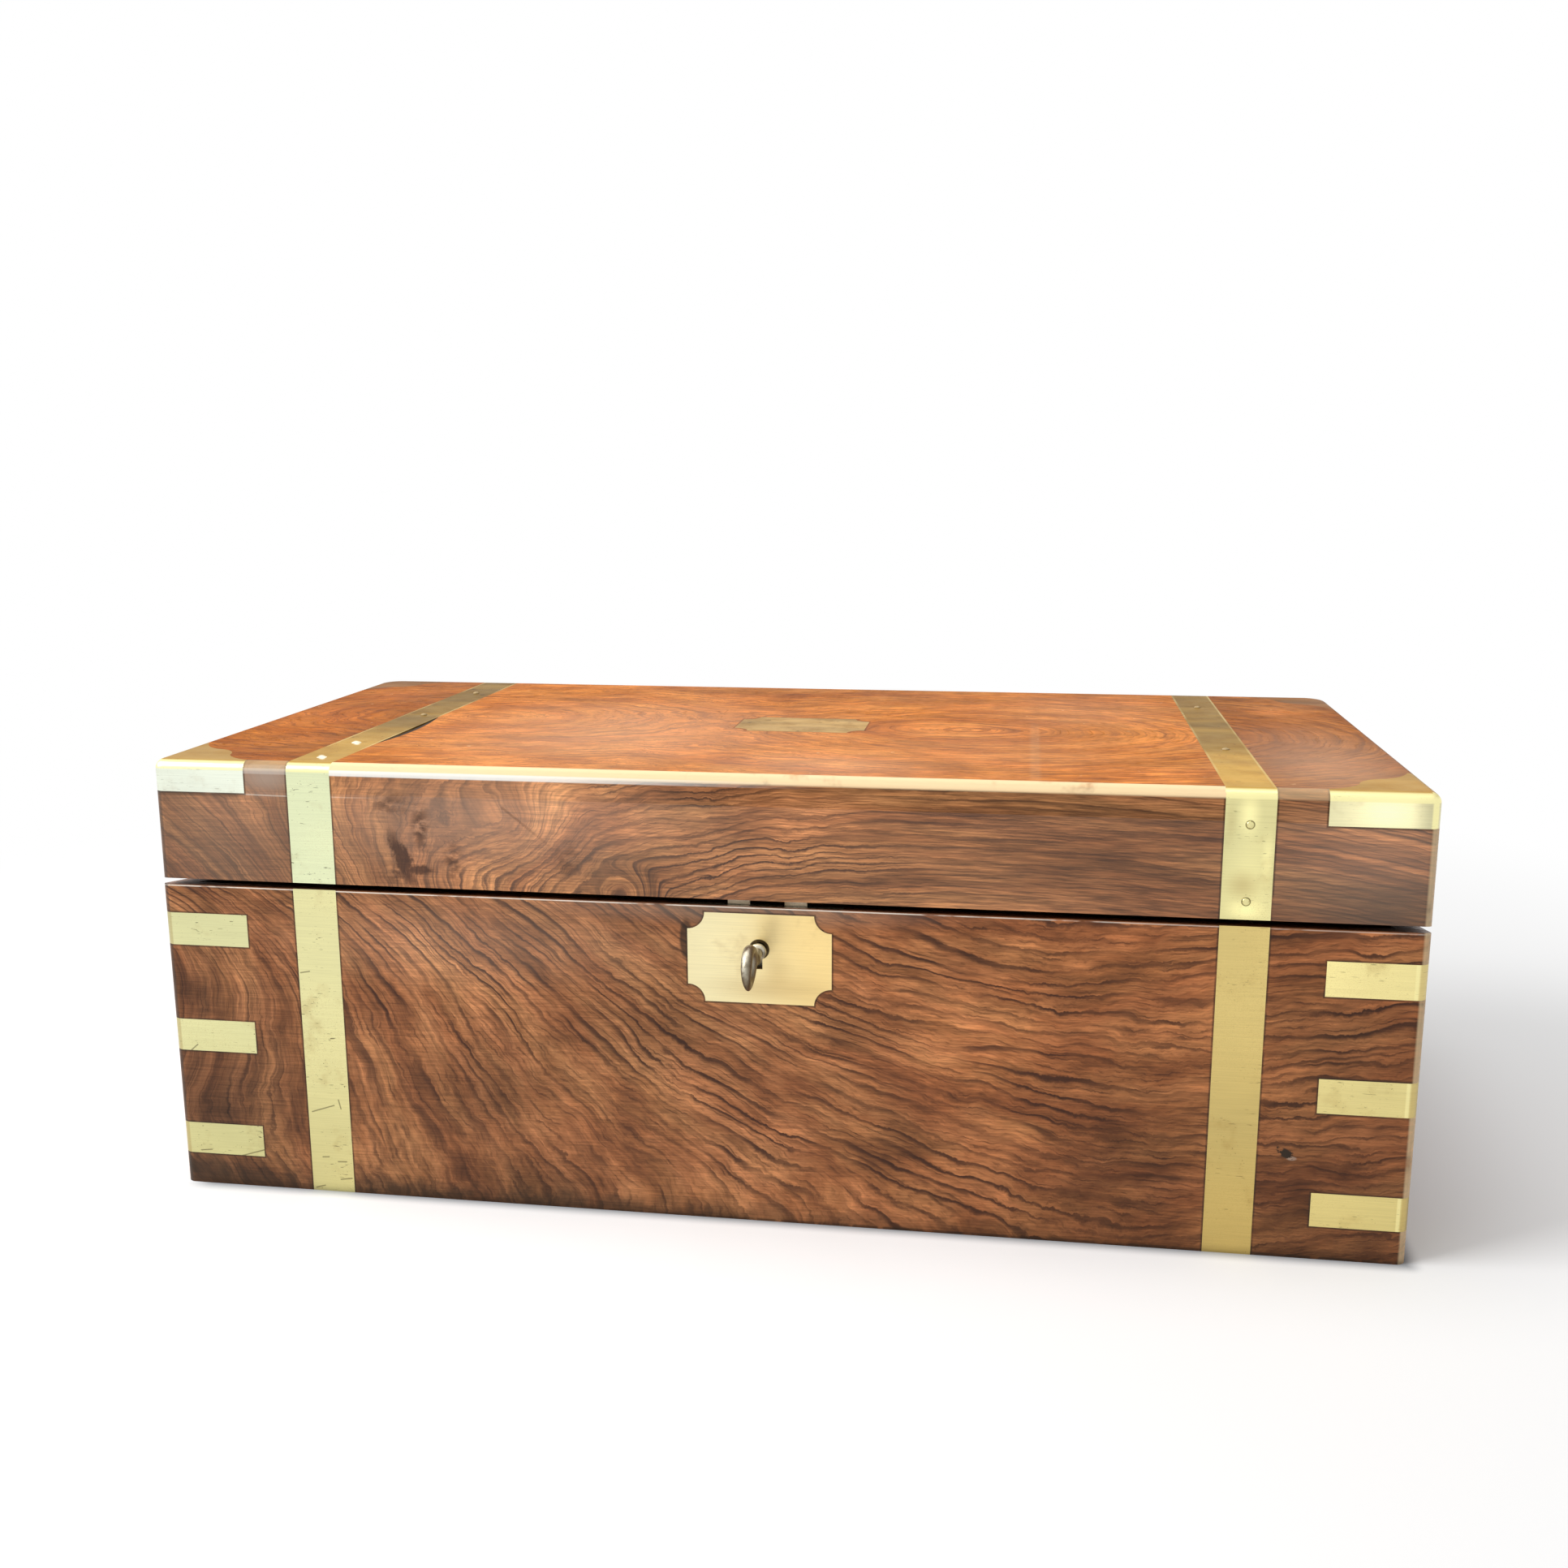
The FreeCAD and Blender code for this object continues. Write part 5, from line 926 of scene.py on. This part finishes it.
class DESK_OT_key(bpy.types.Operator):
    """Steel key: a ring bow that thins to its foot, a turned neck and collar, a drilled shank and a bit"""

    bl_idname = "desk.key"
    bl_label = "File the key"

    def execute(self, context):
        key = bmesh.new()
        self.bow(key)
        self.shank(key)
        self.bit(key)
        piece = to_piece(key, "filed_key", "key", self.finish(context.scene.desk_colours))
        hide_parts("key")
        return {"FINISHED"}

    def bow(self, key):
        reach = KEY_HIGH.z - KEYHOLE[1]
        wire = 2.0
        middle = Vector((0.0, KEY_LOW.y + reach, KEYHOLE[1]))
        start = middle + Vector((0.0, 0.0, reach - wire))
        spot = Matrix.Translation(start) @ Matrix.Rotation(math.pi / 2, 4, "X")
        ring = bmesh.ops.create_circle(key, cap_ends=False, segments=20, radius=wire, matrix=spot)["verts"]
        edges = list({edge for vert in ring for edge in vert.link_edges})
        bmesh.ops.spin(key, geom=ring + edges, cent=middle, axis=(1.0, 0.0, 0.0), angle=2 * math.pi, steps=56,
                       use_merge=True)
        for vert in key.verts:
            rise = (vert.co.z - middle.z + reach) / (2 * reach)
            vert.co.x *= 0.52 + 1.05 * rise - 0.50 * rise ** 3
            vert.co.z -= 0.9 * max(0.0, rise - 0.5)

    def shank(self, key):
        root, tip = KEY_LOW.y + 15.0, KEY_HIGH.y
        collar = FRONT - 4.2
        drilled = tip - 5.4
        profile = (
            (0.0, root), (1.9, root + 0.4), (2.3, root + 2.8), (2.8, root + 3.5), (2.8, root + 4.3),
            (2.2, root + 5.2), (2.3, collar - 0.5), (3.1, collar - 0.2), (3.4, collar + 0.3),
            (3.4, collar + 1.3), (3.1, collar + 1.6), (2.5, collar + 1.8), (2.5, tip - 0.4), (2.1, tip),
            (1.2, tip), (1.2, drilled), (0.0, drilled),
        )
        verts = [key.verts.new((radius, y, KEYHOLE[1])) for radius, y in profile]
        edges = [key.edges.new(pair) for pair in zip(verts, verts[1:])]
        bmesh.ops.spin(key, geom=verts + edges, cent=(0.0, 0.0, KEYHOLE[1]), axis=(0.0, 1.0, 0.0),
                       angle=2 * math.pi, steps=32, use_merge=True)

    def bit(self, key):
        size = Vector((1.9, 5.2, 5.1))
        spot = Vector((0.0, KEY_HIGH.y - size.y / 2, KEYHOLE[1] - 7.3 + size.z / 2))
        cube = bmesh.ops.create_cube(key, size=1.0, matrix=Matrix.LocRotScale(spot, None, size))["verts"]
        edges = list({edge for vert in cube for edge in vert.link_edges})
        bmesh.ops.bevel(key, geom=edges, offset=0.25, offset_type="OFFSET", affect="EDGES", segments=2,
                        profile=0.5, material=-1)

    def finish(self, colours):
        finish = new_finish("Key steel")
        place = finish.place()
        x, y, z = place
        cloud = finish.noise(x * 0.30, y * 0.22, z * 0.22, 4.0, 0.6)
        grit = finish.cloud(place, 2.0, 3.0, 0.6)
        on_bow = y.rise(FRONT - 8.0, FRONT - 11.0)
        # the bow darker towards its foot and on its right side
        foot = (z + (cloud - 0.5) * 9.0).rise(KEYHOLE[1] + 3.0, KEYHOLE[1] - 4.0) * on_bow
        side = x.rise(-0.6, 1.6) * on_bow
        colour = finish.blend(colours.steel, colours.rust, cloud.rise(0.50, 0.66) * 0.7)
        colour = finish.blend(colour, colours.rust, foot.most(side) * 0.82)
        colour = finish.blend(colour, colours.grime_and_shade, grit.rise(0.56, 0.72) * 0.6)
        return finish.surface(Base_Color=colour, Metallic=0.95, Roughness=cloud * 0.2 + 0.24,
                              Normal=finish.bump(grit + cloud * 2.0, 0.0003, 0.7))


class DESK_OT_nails(bpy.types.Operator):
    """Round heads on the nails of the lid's straps"""

    bl_idname = "desk.nails"
    bl_label = "Drive the nails"

    def execute(self, context):
        axis = Vector((0.0, AXIS_Y, AXIS_Z))
        ajar = Matrix.Translation(axis) @ Matrix.Rotation(-AJAR, 4, "X") @ Matrix.Translation(-axis)
        ceiling = CAD_BOX[1].z * MM - 0.02
        heads = bmesh.new()
        for x, depth in TOP_NAILS:
            spot = Vector((x, FRONT + depth, TOP))
            dome = min(NAIL_DOME, ceiling - (ajar @ spot).z)
            wide = NAIL_HEAD * (1.35 if depth < HIGHLIT_NAILS else 1.0)
            self.head(heads, ajar, spot, (wide, wide, dome))
        for x, height in FRONT_NAILS:
            self.head(heads, ajar, Vector((x, FRONT, height)), (NAIL_HEAD, NAIL_DOME, NAIL_HEAD))
        to_piece(heads, "nail_heads", "lid", self.finish(context.scene.desk_colours))
        cover("lid_strap_nails", bpy.data.materials["Brass lid straps"])
        return {"FINISHED"}

    def head(self, heads, ajar, spot, size):
        bmesh.ops.create_uvsphere(heads, u_segments=20, v_segments=12, radius=1.0,
                                  matrix=ajar @ Matrix.LocRotScale(spot, None, size))

    def finish(self, colours):
        finish = new_finish("Brass nail heads")
        place = finish.place("lid")
        x, y, z = place
        rub = finish.cloud(place, 0.9, 3.0, 0.6)
        on_top = z.rise(TOP - 2.0, TOP - 1.0)
        rim = nearest_nail(x, z, FRONT_NAILS) * (1.0 - on_top)
        # the front nail heads on the top carry a painted highlight
        behind = (y - FRONT - HIGHLIT_NAILS).rise(-5.0, 5.0)
        upper = finish.blend(colours.nail_highlight, colours.cap_brown, behind * 0.8)
        colour = finish.blend(colours.lid_brass_right, upper, on_top)
        colour = finish.blend(colour, colours.brass_dull, rub.rise(0.50, 0.70) * 0.5)
        colour = finish.blend(colour, colours.grime_and_shade, rim.rise(NAIL_HEAD - 0.45, NAIL_HEAD - 0.05) * 0.55)
        return finish.surface(Base_Color=colour, Metallic=0.85 - on_top * 0.85, Roughness=rub * 0.2 + 0.16,
                              Specular_IOR_Level=0.01, Normal=finish.bump(rub, 0.0002, 0.5))


class DESK_OT_leather(bpy.types.Operator):
    """Dark skiver on both flaps with gilt lines round the edge"""

    bl_idname = "desk.leather"
    bl_label = "Line the flaps"

    def execute(self, context):
        colours, sizes = context.scene.desk_colours, context.scene.desk_sizes
        for node, body in (("upper_flap_leather", "base"), ("lower_flap_leather", "lid")):
            low, high = (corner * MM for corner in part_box(node))
            finish = new_finish(node.replace("_", " ").capitalize())
            place = finish.place(body)
            x, y, z = place
            edge = (high.x - abs(x)).least(y - low.y).least(high.y - y)
            gilt = None
            for inset, width in ((0.0, 0.55), (2.2, 0.35), (9.0, 0.35)):
                line = abs(edge - (sizes.tooling_inset + inset)).rise(width, width * 0.6)
                gilt = line if gilt is None else gilt.most(line)
            worn = finish.cloud(place, 0.05, 4.0, 0.6)
            point = finish.node("ShaderNodeCombineXYZ", sockets={0: x, 1: y, 2: z})
            pebble = finish.node("ShaderNodeTexVoronoi", {"feature": "F1"}, {"Vector": point, "Scale": 0.9})
            gilt = gilt * finish.noise(x * 0.6, y * 0.6, 5.0, 2.0).rise(0.30, 0.42)
            colour = finish.blend(colours.leather, colours.leather_worn, worn.rise(0.50, 0.75) * 0.7)
            colour = finish.blend(colour, colours.grime_and_shade, pebble.rise(0.35, 0.75) * 0.35)
            colour = finish.blend(colour, colours.tooling, gilt)
            cover(node, finish.surface(Base_Color=colour, Metallic=gilt * 0.9,
                                       Roughness=worn * 0.2 + 0.42 - gilt * 0.15,
                                       Normal=finish.bump(pebble * -0.6 + worn, 0.00025, 0.5)))
        return {"FINISHED"}


class DESK_OT_inkwells(bpy.types.Operator):
    """Clear pressed glass on both inkwells, stained where ink has dried"""

    bl_idname = "desk.inkwells"
    bl_label = "Fill the ink bays"

    def execute(self, context):
        colours = context.scene.desk_colours
        finish = new_finish("Inkwell glass")
        place = finish.place()
        ink = finish.cloud(place, 0.12, 3.0).rise(0.50, 0.66)
        colour = finish.blend(colours.glass, colours.dried_ink, ink * 0.5)
        material = finish.surface(Base_Color=colour, Transmission_Weight=0.92, Roughness=ink * 0.15 + 0.04,
                                  IOR=1.5, Normal=finish.bump(finish.cloud(place, 0.2), 0.0004, 0.3))
        for end in ENDS:
            cover(f"inkwell_{end}", material)
        return {"FINISHED"}


def seen_rays(finish):
    """1 for the rays that look at the surroundings, 0 for those that light the desk."""
    camera, glossy, through = (finish.node("ShaderNodeLightPath", output=f"Is {kind} Ray")
                               for kind in ("Camera", "Glossy", "Transmission"))
    return camera.most(glossy).most(through)


class DESK_OT_stage(bpy.types.Operator):
    """Pale floor, white surroundings, soft lamps and the camera"""

    bl_idname = "desk.stage"
    bl_label = "Set the stage"

    def execute(self, context):
        scene = context.scene
        colours, sizes = scene.desk_colours, scene.desk_sizes
        scene.view_settings.view_transform = "Standard"
        self.floor(scene, colours)
        self.surroundings(scene)
        for name, spot, size, power in LAMPS:
            self.lamp(scene, name, spot, size, power)
        self.camera(scene, sizes)
        return {"FINISHED"}

    def floor(self, scene, colours):
        sheet = bmesh.new()
        bmesh.ops.create_grid(sheet, x_segments=1, y_segments=1, size=FLOOR_HALF)
        mesh = bpy.data.meshes.new("floor")
        sheet.to_mesh(mesh)
        sheet.free()
        floor = bpy.data.objects.new("floor", mesh)
        scene.collection.objects.link(floor)
        finish = new_finish("Studio floor")
        white = finish.node("ShaderNodeEmission", sockets={"Color": WHITE, "Strength": 1.0})
        x, y, _ = finish.place()
        far = (x * x + y * y).root().rise(270.0, 800.0)
        seen = seen_rays(finish) * far.times_plus(0.85, 0.15)
        # painted contact shadow on the floor round the case, except at its left end
        out_x, out_y = ((abs(axis) - half).most(0.0) for axis, half in ((x, HALF_WIDTH), (y, BACK)))
        foot = (out_x * out_x + out_y * out_y).root().rise(7.5, -1.5)
        foot = foot * x.rise(-HALF_WIDTH - 1.0, -HALF_WIDTH + 14.0)
        sheet_colour = finish.blend(colours.floor, colours.floor_shadow, foot)
        plain = finish.node("ShaderNodeBsdfDiffuse", sockets={"Color": sheet_colour})
        shader = finish.node("ShaderNodeMixShader", sockets={0: seen * (1.0 - foot), 1: plain, 2: white})
        finish.node("ShaderNodeOutputMaterial", sockets={"Surface": shader})
        mesh.materials.append(finish.owner)

    def surroundings(self, scene):
        scene.world = bpy.data.worlds.new("Studio")
        finish = Finish(scene.world)
        strength = seen_rays(finish) * (1.0 - SKY_LIGHT) + SKY_LIGHT
        sky = finish.node("ShaderNodeBackground", sockets={"Color": WHITE, "Strength": strength})
        finish.node("ShaderNodeOutputWorld", sockets={"Surface": sky})

    def lamp(self, scene, name, spot, size, power):
        light = bpy.data.lights.new(name, "AREA")
        light.shape = "SQUARE"
        light.size = size
        light.energy = power
        lamp = bpy.data.objects.new(name, light)
        lamp.location = spot
        lamp.rotation_mode = "QUATERNION"
        lamp.rotation_quaternion = (LAMP_AIM - Vector(spot)).to_track_quat("-Z", "Y")
        scene.collection.objects.link(lamp)

    def camera(self, scene, sizes):
        data = bpy.data.cameras.new("Camera")
        data.sensor_width = SENSOR_WIDTH
        data.lens = sizes.lens
        data.clip_start = 0.01
        camera = bpy.data.objects.new("Camera", data)
        scene.collection.objects.link(camera)
        yaw, pitch, roll = (math.radians(angle) for angle in CAMERA_ANGLES)
        ahead = Vector((-math.sin(yaw) * math.cos(pitch), math.cos(yaw) * math.cos(pitch), -math.sin(pitch)))
        level_right = Vector((math.cos(yaw), math.sin(yaw), 0.0))
        down = ahead.cross(level_right)
        right = level_right * math.cos(roll) + down * math.sin(roll)
        up = level_right * math.sin(roll) - down * math.cos(roll)
        turn = Matrix((right, up, -ahead)).transposed()
        spot = Vector((CAMERA_X, FRONT / MM - sizes.camera_distance, CAMERA_HEIGHT))
        camera.matrix_world = Matrix.Translation(spot) @ turn.to_4x4()
        scene.camera = camera


class DESK_PT_panel(bpy.types.Panel):
    """Finishes of the writing desk"""

    bl_idname = "DESK_PT_panel"
    bl_label = "Writing desk"
    bl_space_type = "VIEW_3D"
    bl_region_type = "UI"
    bl_category = "Desk"

    def draw(self, context):
        for operator in OPERATORS:
            self.layout.operator(operator.bl_idname)
        for group in (context.scene.desk_sizes, context.scene.desk_colours):
            for name in group.bl_rna.properties.keys():
                if name not in ("name", "rna_type"):
                    self.layout.prop(group, name)


OPERATORS = (DESK_OT_veneer, DESK_OT_inside_wood, DESK_OT_brass, DESK_OT_nails, DESK_OT_steel, DESK_OT_key,
             DESK_OT_leather, DESK_OT_inkwells, DESK_OT_stage)
CLASSES = (DeskColours, DeskSizes, *OPERATORS, DESK_PT_panel)


def register():
    for cls in CLASSES:
        bpy.utils.register_class(cls)
    bpy.types.Scene.desk_colours = PointerProperty(type=DeskColours)
    bpy.types.Scene.desk_sizes = PointerProperty(type=DeskSizes)


def unregister():
    del bpy.types.Scene.desk_sizes
    del bpy.types.Scene.desk_colours
    for cls in reversed(CLASSES):
        bpy.utils.unregister_class(cls)


def main():
    register()
    bpy.ops.desk.veneer()
    bpy.ops.desk.inside_wood()
    bpy.ops.desk.brass()
    bpy.ops.desk.nails()
    bpy.ops.desk.steel()
    bpy.ops.desk.key()
    bpy.ops.desk.leather()
    bpy.ops.desk.inkwells()
    bpy.ops.desk.stage()


if __name__ == "__main__":
    main()
